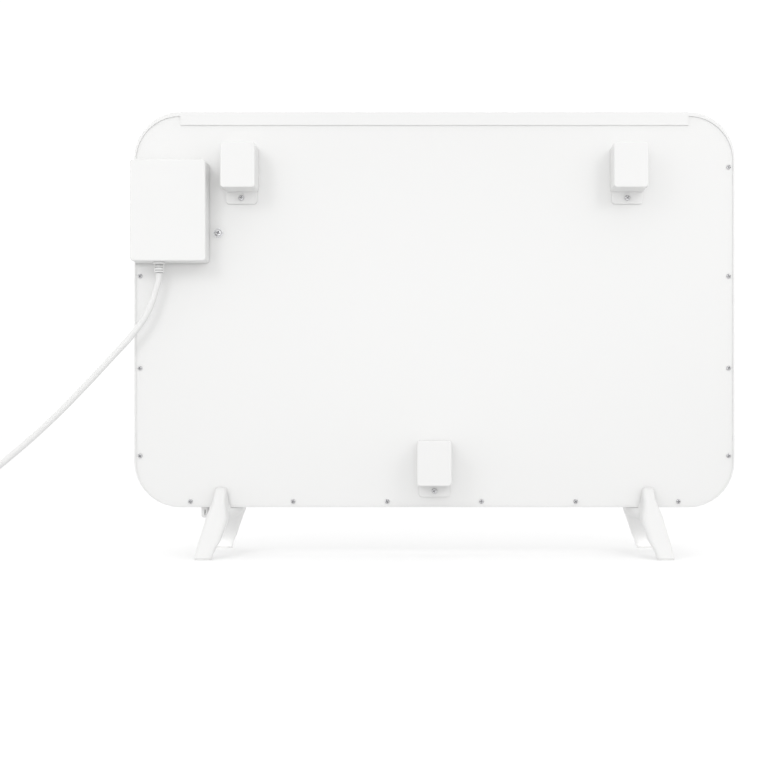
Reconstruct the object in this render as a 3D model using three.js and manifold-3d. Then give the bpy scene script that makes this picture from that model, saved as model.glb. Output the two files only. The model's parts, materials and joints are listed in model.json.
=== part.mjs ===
// Infrared panel heater on two saddle feet, in millimetres, +Z up.
// Its back faces -Y and its warm front +Y. The origin is on the floor, below the middle of the panel.

import * as THREE from 'three';
import { mergeVertices } from 'three/addons/utils/BufferGeometryUtils.js';
import Module from 'manifold-3d';

const wasm = await Module();
wasm.setup();

// Panel, the driving sizes
const PANEL_WIDTH = 600;
const PANEL_HEIGHT = 395;
const PANEL_DEPTH = 22;
const PANEL_CORNER = 46;
const PANEL_LIFT = 47;
const FRONT_EDGE = 4;
const REAR_EDGE = 0.8;
const SHEET = 1.2;
const PLATE = 1;

// Clearances shared by all pieces
const FIT = 0.3;
const OVERRUN = 5;

// Smoothness of round forms
const ROUND_SIDES = 16;
const SMALL_SIDES = 10;
const WIRE_SIDES = 6;
const PANEL_CORNER_STEPS = 9;
const BOX_CORNER_STEPS = 3;
const EDGE_STEPS = 3;

// Rim and top flange of the front shell
const RIM_LIP = 1.5;
const TOP_CORNER_LIP = 4;
const TOP_FLANGE = 13;
const LUG_WIDTH = 18;
const LUG_REACH = 12;
const PLATE_SCREW_INSET = 5.8;
const SIDE_SCREW_SHARES = [0.13, 0.352, 0.585, 0.861];
const BOTTOM_SCREW_SHARES = [0.157, 0.471, 0.813];

// Small screws of the back plate
const SCREW_HEAD = 2.75;
const SCREW_HEAD_HEIGHT = 1.9;
const SCREW_SHANK = 1.45;
const SCREW_LENGTH = 6.5;

// Places that follow from the panel
const FRONT_Y = PANEL_DEPTH / 2;
const REAR_Y = -PANEL_DEPTH / 2;
const PANEL_TOP = PANEL_LIFT + PANEL_HEIGHT;
const PANEL_MIDDLE = PANEL_LIFT + PANEL_HEIGHT / 2;
const PLATE_REAR = REAR_Y + SHEET + FIT;
const PLATE_FRONT = PLATE_REAR + PLATE;
const SHELL_INSIDE = FRONT_Y - SHEET;

// A closed outline with round corners, centred on zero
function roundRect(width, height, radius) {
  const x = width / 2;
  const y = height / 2;
  const shape = new THREE.Shape();
  shape.moveTo(radius - x, -y);
  shape.absarc(x - radius, radius - y, radius, -Math.PI / 2, 0);
  shape.absarc(x - radius, y - radius, radius, 0, Math.PI / 2);
  shape.absarc(radius - x, y - radius, radius, Math.PI / 2, Math.PI);
  shape.absarc(radius - x, radius - y, radius, Math.PI, 1.5 * Math.PI);
  return shape;
}

// A shape drawn in X and Z, as thick as the space between two places on Y
function slab(shape, front, back, steps = BOX_CORNER_STEPS) {
  const settings = { depth: front - back, bevelEnabled: false, curveSegments: steps };
  const geometry = new THREE.ExtrudeGeometry(shape, settings);
  return geometry.rotateX(Math.PI / 2).translate(0, front, 0);
}

// A box between two corners
function block(x1, x2, y1, y2, z1, z2) {
  const geometry = new THREE.BoxGeometry(Math.abs(x2 - x1), Math.abs(y2 - y1), Math.abs(z2 - z1));
  return geometry.translate((x1 + x2) / 2, (y1 + y2) / 2, (z1 + z2) / 2);
}

// A round bar from one place to another along an axis
function bar(radius, from, to, axis = 'y', sides = ROUND_SIDES) {
  const geometry = new THREE.CylinderGeometry(radius, radius, Math.abs(to - from), sides);
  geometry.translate(0, (from + to) / 2, 0);
  if (axis === 'x') geometry.rotateZ(-Math.PI / 2);
  if (axis === 'z') geometry.rotateX(Math.PI / 2);
  return geometry;
}

// A turned form about Y from [radius, place] pairs
function turned(profile, sides = ROUND_SIDES) {
  const points = profile.map(([radius, place]) => new THREE.Vector2(radius, place));
  return outward(new THREE.LatheGeometry(points, sides));
}

// Vertices merged, without triangles that have no area
function welded(geometry) {
  const bare = new THREE.BufferGeometry();
  bare.setAttribute('position', geometry.getAttribute('position').clone());
  if (geometry.index) bare.setIndex(geometry.index.clone());
  const merged = mergeVertices(bare);
  const index = merged.index.array;
  const kept = [];
  for (let k = 0; k < index.length; k += 3) {
    const [a, b, c] = [index[k], index[k + 1], index[k + 2]];
    if (a !== b && b !== c && c !== a) kept.push(a, b, c);
  }
  merged.setIndex(kept);
  return merged;
}

// The same closed form with its faces pointing out
function outward(geometry) {
  const closed = welded(geometry);
  const place = closed.getAttribute('position');
  const index = Array.from(closed.index.array);
  const [a, b, c] = [new THREE.Vector3(), new THREE.Vector3(), new THREE.Vector3()];
  let volume = 0;
  for (let k = 0; k < index.length; k += 3) {
    a.fromBufferAttribute(place, index[k]);
    b.fromBufferAttribute(place, index[k + 1]);
    c.fromBufferAttribute(place, index[k + 2]);
    volume += a.dot(b.cross(c));
  }
  if (volume < 0) index.reverse();
  closed.setIndex(index);
  return closed;
}

// A solid through a row of rings that have the same number of points
function loft(rings) {
  const count = rings[0].length;
  const index = [];
  for (let ring = 1; ring < rings.length; ring += 1) {
    const low = (ring - 1) * count;
    const high = ring * count;
    for (let side = 0; side < count; side += 1) {
      const next = (side + 1) % count;
      index.push(low + side, low + next, high + next, low + side, high + next, high + side);
    }
  }
  const last = (rings.length - 1) * count;
  for (let side = 1; side < count - 1; side += 1) {
    index.push(0, side + 1, side, last, last + side, last + side + 1);
  }
  const geometry = new THREE.BufferGeometry().setFromPoints(rings.flat());
  geometry.setIndex(index);
  return outward(geometry);
}

// A ring with round corners at one place on Y
function roundRing(width, height, corner, y, steps) {
  const ring = [];
  for (let quarter = 0; quarter < 4; quarter += 1) {
    const side = quarter === 0 || quarter === 3 ? 1 : -1;
    const rise = quarter < 2 ? 1 : -1;
    for (let step = 0; step <= steps; step += 1) {
      const angle = ((quarter + step / steps) * Math.PI) / 2;
      const x = side * (width / 2 - corner) + corner * Math.cos(angle);
      const z = rise * (height / 2 - corner) + corner * Math.sin(angle);
      ring.push(new THREE.Vector3(x, y, z));
    }
  }
  return ring;
}

// A box along Y with round corners, and round edges where it starts and ends
function softBox(width, height, corner, start, end, startEdge, endEdge, steps = BOX_CORNER_STEPS) {
  const away = Math.sign(end - start);
  const ring = (y, inset) => roundRing(width - 2 * inset, height - 2 * inset, corner - inset, y, steps);
  const rounded = (place, edge, direction) => {
    const count = edge > 0 ? EDGE_STEPS : 0;
    return Array.from({ length: count + 1 }, (_, step) => {
      const angle = count ? ((step / count) * Math.PI) / 2 : 0;
      return ring(place + direction * edge * (1 - Math.cos(angle)), edge * (1 - Math.sin(angle)));
    });
  };
  return loft([...rounded(start, startEdge, away), ...rounded(end, endEdge, -away).reverse()]);
}

// Conversions to and from the boolean library
function toSolid(geometry) {
  const merged = welded(geometry);
  const vertProperties = Float32Array.from(merged.getAttribute('position').array);
  const triVerts = Uint32Array.from(merged.index.array);
  return new wasm.Manifold(new wasm.Mesh({ numProp: 3, vertProperties, triVerts }));
}

function fromSolid(solid) {
  const { vertProperties, triVerts } = solid.getMesh();
  const geometry = new THREE.BufferGeometry();
  geometry.setAttribute('position', new THREE.BufferAttribute(vertProperties, 3));
  geometry.setIndex(Array.from(triVerts));
  return geometry;
}

function join(...pieces) {
  return fromSolid(pieces.map(toSolid).reduce((whole, piece) => whole.add(piece)));
}

function cut(body, ...tools) {
  return fromSolid(tools.map(toSolid).reduce((whole, tool) => whole.subtract(tool), toSolid(body)));
}

// A pan-head screw on Y: its seat is at zero, its head towards -Y
function screw(head, headHeight, shank, length, sides = SMALL_SIDES) {
  const crown = 0.62 * head;
  return turned([[0, -headHeight], [crown, -headHeight], [head, -0.4 * headHeight], [head, 0],
    [shank, 0], [shank, length - shank], [0, length]], sides);
}

// A tube along a smooth curve through points
function tube(points, radius, sides, steps) {
  const section = new THREE.Shape();
  for (let side = 0; side < sides; side += 1) {
    const angle = (2 * Math.PI * side) / sides;
    const place = [radius * Math.cos(angle), radius * Math.sin(angle)];
    if (side === 0) section.moveTo(...place);
    else section.lineTo(...place);
  }
  const path = new THREE.CatmullRomCurve3(points, false, 'centripetal');
  return new THREE.ExtrudeGeometry(section, { steps, extrudePath: path, bevelEnabled: false });
}

// Named pieces, each with its own finish
const heater = new THREE.Group();

function add(name, geometry, [colour, roughness, metalness], parent = heater) {
  geometry.computeVertexNormals();
  const material = new THREE.MeshStandardMaterial({ color: colour, roughness, metalness });
  const mesh = new THREE.Mesh(geometry, material);
  mesh.name = name;
  parent.add(mesh);
  return mesh;
}

const WHITE_PAINT = [0xf4f4f2, 0.45, 0];
const WHITE_PLASTIC = [0xf1f1ef, 0.5, 0];
const WHITE_CORD = [0xeeeeec, 0.55, 0];
const STEEL = [0xb9bcc0, 0.35, 1];
const COPPER = [0xb87333, 0.35, 1];
const BLACK_PLASTIC = [0x1c1c1e, 0.5, 0];
const BOARD_GREEN = [0x1f6b3a, 0.6, 0];

// Screw places on the back plate
const SIDE_SCREW_X = PANEL_WIDTH / 2 - PLATE_SCREW_INSET;
const BOTTOM_SCREW_Z = PANEL_LIFT + PLATE_SCREW_INSET;
const sideScrewHeights = SIDE_SCREW_SHARES.map((share) => PANEL_LIFT + share * PANEL_HEIGHT);
const rightScrewPlaces = sideScrewHeights.map((z) => [SIDE_SCREW_X, z]);
const leftScrewPlaces = sideScrewHeights.slice(0, -1).map((z) => [-SIDE_SCREW_X, z]);
const bottomScrewPlaces = [-1, 1].flatMap((side) =>
  BOTTOM_SCREW_SHARES.map((share) => [(side * share * PANEL_WIDTH) / 2, BOTTOM_SCREW_Z]));

// Touch strip in the lower front corner, behind which the control box stands
const TOUCH_WIDTH = 60;
const TOUCH_HEIGHT = 16;
const TOUCH_CORNER = 5;
const TOUCH_FLANGE = 2.5;
const TOUCH_LENS = 2;
const TOUCH_BOARD = 1.2;
const TOUCH_SIDE_INSET = 64;
const TOUCH_RISE = 38;
const TOUCH_X = TOUCH_SIDE_INSET - PANEL_WIDTH / 2;
const TOUCH_Z = PANEL_LIFT + TOUCH_RISE;

// Feet
const FOOT_SIDE_INSET = 87;
const FOOT_SPREAD = PANEL_WIDTH / 2 - FOOT_SIDE_INSET;
const FOOT_REACH = 101;
const FOOT_TIP_LENGTH = 16;
const FOOT_TIP_WIDTH = 16.8;
const FOOT_WAIST_WIDTH = 21.7;
const FOOT_PRONG_WIDTH = 12.4;
const FOOT_PRONG_RISE = 20;
const FOOT_PRONG_DEPTH = 6;
const FOOT_LEAN = 8.8;
const FOOT_HUB = 13.5;
const FOOT_HUB_HALF = 22;
const FOOT_SADDLE_FLARE = 13;
const FOOT_FLARE_START = -13;
const FOOT_FLARE_RUN = 11;
const PAD_THICKNESS = 1.5;
const PAD_MARGIN = 1.6;
const FOOT_SCREW_HEAD = 3.6;
const FOOT_SCREW_HEAD_HEIGHT = 2.4;
const FOOT_SCREW_SHANK = 1.8;
const FOOT_SCREW_FLOOR = 8;
const FOOT_BOSS_WIDTH = 12;
const FOOT_BOSS_HEIGHT = 9;

// Room sensor under the bottom edge
const SENSOR_RADIUS = 4.1;
const SENSOR_HEIGHT = 10.5;
const SENSOR_EDGE = 2.4;
const SENSOR_NECK = 2.6;
const SENSOR_NECK_RISE = 3;
const SENSOR_BORE = 1.6;
const SENSOR_BEAD = 1.2;
const SENSOR_GAP = 2.4;
const SENSOR_X = -(FOOT_SPREAD + FOOT_WAIST_WIDTH / 2 + SENSOR_GAP + SENSOR_RADIUS - FIT);

// Front shell: folded tray with welded lugs, a top flange and bosses for the feet
function frontShell() {
  const outside = softBox(PANEL_WIDTH, PANEL_HEIGHT, PANEL_CORNER, FRONT_Y, REAR_Y, FRONT_EDGE, REAR_EDGE,
    PANEL_CORNER_STEPS).translate(0, 0, PANEL_MIDDLE);
  const inside = softBox(PANEL_WIDTH - 2 * SHEET, PANEL_HEIGHT - 2 * SHEET, PANEL_CORNER - SHEET,
    SHELL_INSIDE, REAR_Y + SHEET, FRONT_EDGE - SHEET, 0, PANEL_CORNER_STEPS).translate(0, 0, PANEL_MIDDLE);
  const openHeight = PANEL_HEIGHT - RIM_LIP - TOP_CORNER_LIP;
  const opening = slab(roundRect(PANEL_WIDTH - 2 * RIM_LIP, openHeight, PANEL_CORNER - RIM_LIP),
    REAR_Y + SHEET + OVERRUN, REAR_Y - OVERRUN, PANEL_CORNER_STEPS)
    .translate(0, 0, PANEL_LIFT + RIM_LIP + openHeight / 2);
  const flangeHalf = PANEL_WIDTH / 2 - PANEL_CORNER;
  const flange = block(-flangeHalf, flangeHalf, REAR_Y, REAR_Y + SHEET, PANEL_TOP - TOP_FLANGE,
    PANEL_TOP - SHEET);

  const lugRear = PLATE_FRONT + FIT;
  const reach = LUG_REACH - SHEET / 2;
  const lugs = [
    ...rightScrewPlaces.map(([, z]) => [PANEL_WIDTH / 2 - LUG_REACH, PANEL_WIDTH / 2 - LUG_REACH + reach, z]),
    ...leftScrewPlaces.map(([, z]) => [LUG_REACH - PANEL_WIDTH / 2 - reach, LUG_REACH - PANEL_WIDTH / 2, z]),
  ].map(([x1, x2, z]) => block(x1, x2, lugRear, lugRear + SHEET, z - LUG_WIDTH / 2, z + LUG_WIDTH / 2));
  const lowLugs = bottomScrewPlaces.map(([x]) => block(x - LUG_WIDTH / 2, x + LUG_WIDTH / 2,
    lugRear, lugRear + SHEET, PANEL_LIFT + SHEET / 2, PANEL_LIFT + LUG_REACH));
  const bosses = [-1, 1].map((side) => block(side * FOOT_SPREAD - FOOT_BOSS_WIDTH / 2,
    side * FOOT_SPREAD + FOOT_BOSS_WIDTH / 2, -FOOT_BOSS_WIDTH / 2, FOOT_BOSS_WIDTH / 2,
    PANEL_LIFT + SHEET / 2, PANEL_LIFT + SHEET + FOOT_BOSS_HEIGHT));

  const pilots = [...rightScrewPlaces, ...leftScrewPlaces, ...bottomScrewPlaces].map(([x, z]) =>
    bar(SCREW_SHANK + FIT, lugRear - FIT, lugRear + SHEET + FIT, 'y', SMALL_SIDES).translate(x, 0, z));
  const bossHoles = [-1, 1].map((side) => bar(FOOT_SCREW_SHANK + FIT, PANEL_LIFT - OVERRUN,
    PANEL_LIFT + SHEET + FOOT_BOSS_HEIGHT + OVERRUN, 'z', SMALL_SIDES).translate(side * FOOT_SPREAD, 0, 0));
  const sensorHole = bar(SENSOR_NECK + FIT, PANEL_LIFT - OVERRUN, PANEL_LIFT + SHEET + FIT, 'z', SMALL_SIDES)
    .translate(SENSOR_X, 0, 0);
  const window = slab(roundRect(TOUCH_WIDTH + 2 * FIT, TOUCH_HEIGHT + 2 * FIT, TOUCH_CORNER),
    FRONT_Y + OVERRUN, SHELL_INSIDE - FIT).translate(TOUCH_X, 0, TOUCH_Z);
  const tray = join(cut(outside, inside, opening), flange, ...lugs, ...lowLugs, ...bosses);
  return cut(tray, ...pilots, ...bossHoles, sensorHole, window);
}

add('front_shell', frontShell(), WHITE_PAINT);

// Wall spacers
const BRACKET_WIDTH = 34;
const BRACKET_HEIGHT = 44.6;
const BRACKET_DEPTH = 44;
const BRACKET_CORNER = 3.2;
const BRACKET_EDGE = 1.2;
const BRACKET_WALL = 2;
const BRACKET_TAB_WIDTH = 31;
const BRACKET_TAB = 12;
const BRACKET_TAB_THICKNESS = 2.5;
const BRACKET_RIB = 1.6;
const BRACKET_SCREW_HEAD = 2.8;
const BRACKET_SCREW_HEAD_HEIGHT = 2;
const BRACKET_SCREW_SHANK = 1.7;
const BRACKET_SIDE_INSET = 107.3;
const BRACKET_SPREAD = PANEL_WIDTH / 2 - BRACKET_SIDE_INSET;
const BRACKET_TOP_DROP = 35.4;
const BRACKET_LOW_RISE = 22.3;
const upperBracketZ = PANEL_TOP - BRACKET_TOP_DROP - BRACKET_HEIGHT / 2;
const lowerBracketZ = PANEL_LIFT + BRACKET_LOW_RISE + BRACKET_HEIGHT / 2;
const tabScrewDrop = (BRACKET_HEIGHT + BRACKET_TAB) / 2;
const bracketPlaces = {
  bracket_left: [-BRACKET_SPREAD, upperBracketZ],
  bracket_right: [BRACKET_SPREAD, upperBracketZ],
  bracket_bottom: [0, lowerBracketZ],
};

// Control box, on the back near one side
const BOX_WIDTH = 74.5;
const BOX_HEIGHT = 100;
const BOX_DEPTH = 34.4;
const BOX_CORNER = 3.4;
const BOX_EDGE = 2.6;
const BOX_WALL = 2;
const BOX_SIDE_INSET = 0.5;
const BOX_TOP_DROP = 51.3;
const BASE_FLOOR = 2;
const BASE_RIM = 3.2;
const BASE_LIP = 3;
const BASE_LIP_WALL = 1.5;
const BASE_POST = 4;
const PEG_INSET = 12;
const PEG_NECK = 2;
const PEG_BARB = 3;
const PEG_TIP = 1.4;
const PEG_BARB_LENGTH = 2.6;
const GLAND_INSET = 26.7;
const BOX_X = BOX_WIDTH / 2 + BOX_SIDE_INSET - PANEL_WIDTH / 2;
const BOX_Z = PANEL_TOP - BOX_TOP_DROP - BOX_HEIGHT / 2;
const BOX_BOTTOM = BOX_Z - BOX_HEIGHT / 2;
const BOX_TOP = BOX_Z + BOX_HEIGHT / 2;
const BOX_LEFT = BOX_X - BOX_WIDTH / 2;
const GLAND_X = BOX_LEFT + GLAND_INSET;
const BOX_REAR = PLATE_REAR - BOX_DEPTH;
const BASE_FRONT = REAR_Y - FIT;
const BASE_INSIDE = BASE_FRONT - BASE_FLOOR;
const BASE_RIM_REAR = BASE_FRONT - BASE_RIM;
const BOX_MID_Y = (BOX_REAR + BASE_FRONT) / 2;
const basePegPlaces = [-1, 1].flatMap((side) => [-1, 1].map((rise) =>
  [BOX_X + side * (BOX_WIDTH / 2 - PEG_INSET), BOX_Z + rise * (BOX_HEIGHT / 2 - PEG_INSET)]));

// Wires and their grommet, through the plate behind the control box
const WIRE = 0.9;
const WIRE_RING = 3;
const GROMMET_BORE = 4.6;
const GROMMET_NECK = 5.7;
const GROMMET_FLANGE = 7.6;
const GROMMET_LIP = 0.9;
const GROMMET_RISE = 30;
const GROMMET_Z = BOX_BOTTOM + GROMMET_RISE;

// Earth screw beside the control box
const EARTH_HEAD = 3.8;
const EARTH_HEAD_HEIGHT = 2.8;
const EARTH_SHANK = 2;
const EARTH_LENGTH = 8;
const WASHER = 0.9;
const WASHER_RADIUS = 5.2;
const WASHER_TOOTH = 0.9;
const WASHER_TEETH = 12;
const EARTH_BOX_GAP = 9;
const EARTH_DROP = 19.5;
const EARTH_X = BOX_X + BOX_WIDTH / 2 + EARTH_BOX_GAP;
const EARTH_Z = BOX_Z - EARTH_DROP;

// Back plate, tucked under the top flange
function backPanel() {
  const inset = SHEET + FIT;
  const plate = slab(roundRect(PANEL_WIDTH - 2 * inset, PANEL_HEIGHT - 2 * inset, PANEL_CORNER - inset),
    PLATE_FRONT, PLATE_REAR, PANEL_CORNER_STEPS).translate(0, 0, PANEL_MIDDLE);
  const hole = (radius, x, z) => bar(radius, PLATE_FRONT + FIT, PLATE_REAR - FIT, 'y', SMALL_SIDES)
    .translate(x, 0, z);
  return cut(plate,
    ...[...rightScrewPlaces, ...leftScrewPlaces, ...bottomScrewPlaces]
      .map(([x, z]) => hole(SCREW_SHANK + FIT, x, z)),
    ...basePegPlaces.map(([x, z]) => hole(PEG_NECK + FIT, x, z)),
    ...Object.values(bracketPlaces).map(([x, z]) => hole(BRACKET_SCREW_SHANK + FIT, x, z - tabScrewDrop)),
    hole(EARTH_SHANK + FIT, EARTH_X, EARTH_Z),
    hole(GROMMET_NECK + FIT, BOX_X, GROMMET_Z));
}

add('back_panel', backPanel(), WHITE_PAINT);

// Heating element, its contact strips and what lies behind it
const ELEMENT_SIDE_MARGIN = 28;
const ELEMENT_TOP_MARGIN = 28;
const ELEMENT_BOTTOM_MARGIN = 62;
const ELEMENT_CORNER = 20;
const ELEMENT = 1.5;
const REFLECTOR = 0.5;
const INSULATION = 8;
const STRIP_WIDTH = 10;
const STRIP = 0.6;
const STRIP_INSET = 7;
const STUD = 1.5;
const STUD_REACH = 4.5;
const STUD_CLEARANCE = 1.5;
const ELEMENT_WIDTH = PANEL_WIDTH - 2 * ELEMENT_SIDE_MARGIN;
const ELEMENT_HEIGHT = PANEL_HEIGHT - ELEMENT_TOP_MARGIN - ELEMENT_BOTTOM_MARGIN;
const ELEMENT_Z = PANEL_LIFT + ELEMENT_BOTTOM_MARGIN + ELEMENT_HEIGHT / 2;
const ELEMENT_REAR = SHELL_INSIDE - FIT - ELEMENT;
const STRIP_REAR = ELEMENT_REAR - FIT - STRIP;
const REFLECTOR_REAR = STRIP_REAR - FIT - REFLECTOR;
const INSULATION_REAR = REFLECTOR_REAR - FIT - INSULATION;
const STRIP_X = ELEMENT_WIDTH / 2 - STRIP_INSET - STRIP_WIDTH / 2;
const STUD_Z = GROMMET_Z - 3 * STRIP_WIDTH;

// Overheat protection, in a window of the insulation
const CUTOUT_RADIUS = 8;
const CUTOUT_FLANGE = 10.5;
const CUTOUT_FLANGE_HEIGHT = 1.5;
const CUTOUT_HEIGHT = 11;
const CUTOUT_WINDOW = 2;
const CUTOUT_TAB = 1.2;
const CUTOUT_TAB_SPREAD = 5;
const CUTOUT_OFFSET = 60;
const FUSE_RADIUS = 2;
const FUSE_LENGTH = 11;
const CUTOUT_X = BOX_X + CUTOUT_OFFSET;
const CUTOUT_Z = STUD_Z;
const FUSE_X = (CUTOUT_X - STRIP_X) / 2;

const elementOutline = () => roundRect(ELEMENT_WIDTH, ELEMENT_HEIGHT, ELEMENT_CORNER);
add('heating_element', slab(elementOutline(), ELEMENT_REAR + ELEMENT, ELEMENT_REAR)
  .translate(0, 0, ELEMENT_Z),
  [0x3b3b3d, 0.7, 0]);

function contactStrip(side) {
  const half = ELEMENT_HEIGHT / 2 - ELEMENT_CORNER;
  const strip = block(side * STRIP_X - STRIP_WIDTH / 2, side * STRIP_X + STRIP_WIDTH / 2, STRIP_REAR,
    STRIP_REAR + STRIP, ELEMENT_Z - half, ELEMENT_Z + half);
  const stud = bar(STUD, STRIP_REAR + STRIP / 2, INSULATION_REAR - STUD_REACH, 'y', SMALL_SIDES);
  return join(strip, stud.translate(side * STRIP_X, 0, STUD_Z));
}

function layer(front, back) {
  const tools = [-1, 1].map((side) => bar(STUD + STUD_CLEARANCE, front + FIT, back - FIT, 'y', SMALL_SIDES)
    .translate(side * STRIP_X, 0, STUD_Z));
  const window = bar(CUTOUT_FLANGE + CUTOUT_WINDOW, front + FIT, back - FIT).translate(CUTOUT_X, 0, CUTOUT_Z);
  return cut(slab(elementOutline(), front, back).translate(0, 0, ELEMENT_Z), window, ...tools);
}

add('busbar_left', contactStrip(-1), COPPER);
add('busbar_right', contactStrip(1), COPPER);
add('reflector_sheet', layer(REFLECTOR_REAR + REFLECTOR, REFLECTOR_REAR), [0xd8dadc, 0.25, 1]);
add('insulation_board', layer(INSULATION_REAR + INSULATION, INSULATION_REAR), [0xd9cfae, 0.95, 0]);

const CUTOUT_REAR = ELEMENT_REAR - FIT - CUTOUT_HEIGHT;
function thermalCutout() {
  const front = ELEMENT_REAR - FIT;
  const body = turned([[0, front], [CUTOUT_FLANGE, front], [CUTOUT_FLANGE, front - CUTOUT_FLANGE_HEIGHT],
    [CUTOUT_RADIUS, front - CUTOUT_FLANGE_HEIGHT], [CUTOUT_RADIUS, CUTOUT_REAR], [0, CUTOUT_REAR]]);
  const tabs = [-1, 1].map((side) => block(side * CUTOUT_TAB_SPREAD - CUTOUT_TAB,
    side * CUTOUT_TAB_SPREAD + CUTOUT_TAB,
    CUTOUT_REAR + CUTOUT_TAB, CUTOUT_REAR - 2 * CUTOUT_TAB, -2 * CUTOUT_TAB, 2 * CUTOUT_TAB));
  return join(body, ...tabs).translate(CUTOUT_X, 0, CUTOUT_Z);
}

// Cross rails that stand between the plate and the insulation and take the bracket screws
const RAIL_END = 42;
const RAIL_LENGTH = 2 * (BRACKET_SPREAD + RAIL_END);
const ANCHOR_LENGTH = 60;
const RAIL_HEIGHT = 20;
const RAIL_SHEET = 1;
const RAIL_NUT = 4;
const RAIL_NUT_HEIGHT = 2.5;

function rail(length, z, screwPlaces) {
  const rear = PLATE_FRONT + FIT;
  const front = INSULATION_REAR - FIT;
  const outside = block(-length / 2, length / 2, rear, front, z - RAIL_HEIGHT / 2, z + RAIL_HEIGHT / 2);
  const inside = block(-length / 2 - OVERRUN, length / 2 + OVERRUN, rear + RAIL_SHEET, front + OVERRUN,
    z - RAIL_HEIGHT / 2 + RAIL_SHEET, z + RAIL_HEIGHT / 2 - RAIL_SHEET);
  const nuts = screwPlaces.map((x) => bar(RAIL_NUT, rear + RAIL_SHEET / 2,
    rear + RAIL_SHEET + RAIL_NUT_HEIGHT,
    'y', SMALL_SIDES).translate(x, 0, z));
  const holes = screwPlaces.map((x) => bar(BRACKET_SCREW_SHANK + FIT, rear - FIT, front + FIT, 'y',
    SMALL_SIDES)
    .translate(x, 0, z));
  return cut(join(cut(outside, inside), ...nuts), ...holes);
}

add('cross_rail', rail(RAIL_LENGTH, upperBracketZ - tabScrewDrop, [-BRACKET_SPREAD, BRACKET_SPREAD]), STEEL);
add('lower_anchor', rail(ANCHOR_LENGTH, lowerBracketZ - tabScrewDrop, [0]), STEEL);
add('thermal_cutout', thermalCutout(), [0xe9e4d6, 0.5, 0]);

// Two levels for wires in the air gap behind the insulation
const AIR_GAP = INSULATION_REAR - PLATE_FRONT;
const POWER_LEVEL = PLATE_FRONT + 0.36 * AIR_GAP;
const SIGNAL_LEVEL = INSULATION_REAR - 0.22 * AIR_GAP;
const BOARD_Y = BASE_INSIDE - 6.5;
const BOARD = 1.6;

// A wire that leaves the circuit board straight through the grommet, then runs in the air gap
const wireAngles = { live: 3.6, neutral: 0.2, earth: 1.5, sensor: 4.9, display: 2.5 };
function wirePlace(name) {
  const angle = wireAngles[name];
  return [BOX_X + WIRE_RING * Math.cos(angle), GROMMET_Z + WIRE_RING * Math.sin(angle)];
}

function wireRun(points, radius = WIRE) {
  const steps = 3 * points.length;
  return tube(points.map((point) => new THREE.Vector3(...point)), radius, WIRE_SIDES, steps);
}

function leadFromBoard(name, level, route) {
  const [x, z] = wirePlace(name);
  const stub = bar(WIRE, BOARD_Y + FIT, level + WIRE, 'y', SMALL_SIDES).translate(x, 0, z);
  return join(stub, wireRun([[x, level, z], ...route(x, z)]));
}

const cutoutWireY = CUTOUT_REAR - CUTOUT_TAB / 2;
const liveEnd = CUTOUT_X - CUTOUT_TAB_SPREAD - CUTOUT_TAB - 2 * WIRE;
const fuseLevel = POWER_LEVEL + FUSE_RADIUS / 2;
add('thermal_fuse', join(
  bar(FUSE_RADIUS, FUSE_X - FUSE_LENGTH / 2, FUSE_X + FUSE_LENGTH / 2, 'x', SMALL_SIDES)
    .translate(0, fuseLevel, CUTOUT_Z),
  wireRun([[liveEnd, cutoutWireY, CUTOUT_Z], [liveEnd - WIRE_RING, (cutoutWireY + fuseLevel) / 2, CUTOUT_Z],
    [FUSE_X + FUSE_LENGTH / 2 - FIT, fuseLevel, CUTOUT_Z]]),
  wireRun([[FUSE_X - FUSE_LENGTH / 2 + FIT, fuseLevel, CUTOUT_Z], [STUD + FIT - STRIP_X, fuseLevel, STUD_Z]]),
), [0xcfd2d6, 0.4, 0.6]);
add('live_lead', leadFromBoard('live', POWER_LEVEL, (x, z) => [
  [x - WIRE_RING, POWER_LEVEL, z - 2 * WIRE_RING],
  [x, POWER_LEVEL, CUTOUT_Z - 2 * CUTOUT_RADIUS],
  [CUTOUT_X - 2 * CUTOUT_RADIUS, POWER_LEVEL, CUTOUT_Z - 2.2 * CUTOUT_RADIUS],
  [CUTOUT_X + CUTOUT_TAB_SPREAD, POWER_LEVEL, CUTOUT_Z - 1.4 * CUTOUT_RADIUS],
  [CUTOUT_X + CUTOUT_TAB_SPREAD, cutoutWireY - FIT, CUTOUT_Z - 2 * CUTOUT_TAB - 2 * FIT],
]), [0x6b4a2f, 0.6, 0]);
const railLow = upperBracketZ - tabScrewDrop - RAIL_HEIGHT / 2;
add('neutral_lead', leadFromBoard('neutral', POWER_LEVEL, (x, z) => [
  [x + 2 * WIRE_RING, POWER_LEVEL, z + 2 * WIRE_RING],
  [EARTH_X, POWER_LEVEL, Math.min(z + 6 * WIRE_RING, railLow - 2 * WIRE_RING)],
  [0, POWER_LEVEL, Math.min(z + 5 * WIRE_RING, railLow - 2 * WIRE_RING)],
  [STRIP_X / 2, POWER_LEVEL, z],
  [STRIP_X - 4 * WIRE_RING, POWER_LEVEL, STUD_Z + WIRE_RING],
  [STRIP_X - STUD - FIT, POWER_LEVEL, STUD_Z],
]), [0x2f5fa8, 0.6, 0]);
add('earth_lead', leadFromBoard('earth', SIGNAL_LEVEL, (x, z) => [
  [x + 3 * WIRE_RING, SIGNAL_LEVEL, z + 3 * WIRE_RING],
  [EARTH_X - 3 * WIRE_RING, SIGNAL_LEVEL, z + 3 * WIRE_RING],
  [EARTH_X - WIRE_RING, POWER_LEVEL, EARTH_Z + WIRE_RING],
  [EARTH_X - EARTH_SHANK - 3 * FIT, POWER_LEVEL, EARTH_Z + FIT],
]), [0x8fae3a, 0.6, 0]);
const sensorBeadZ = PANEL_LIFT - SENSOR_HEIGHT / 2 - FIT;
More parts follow.
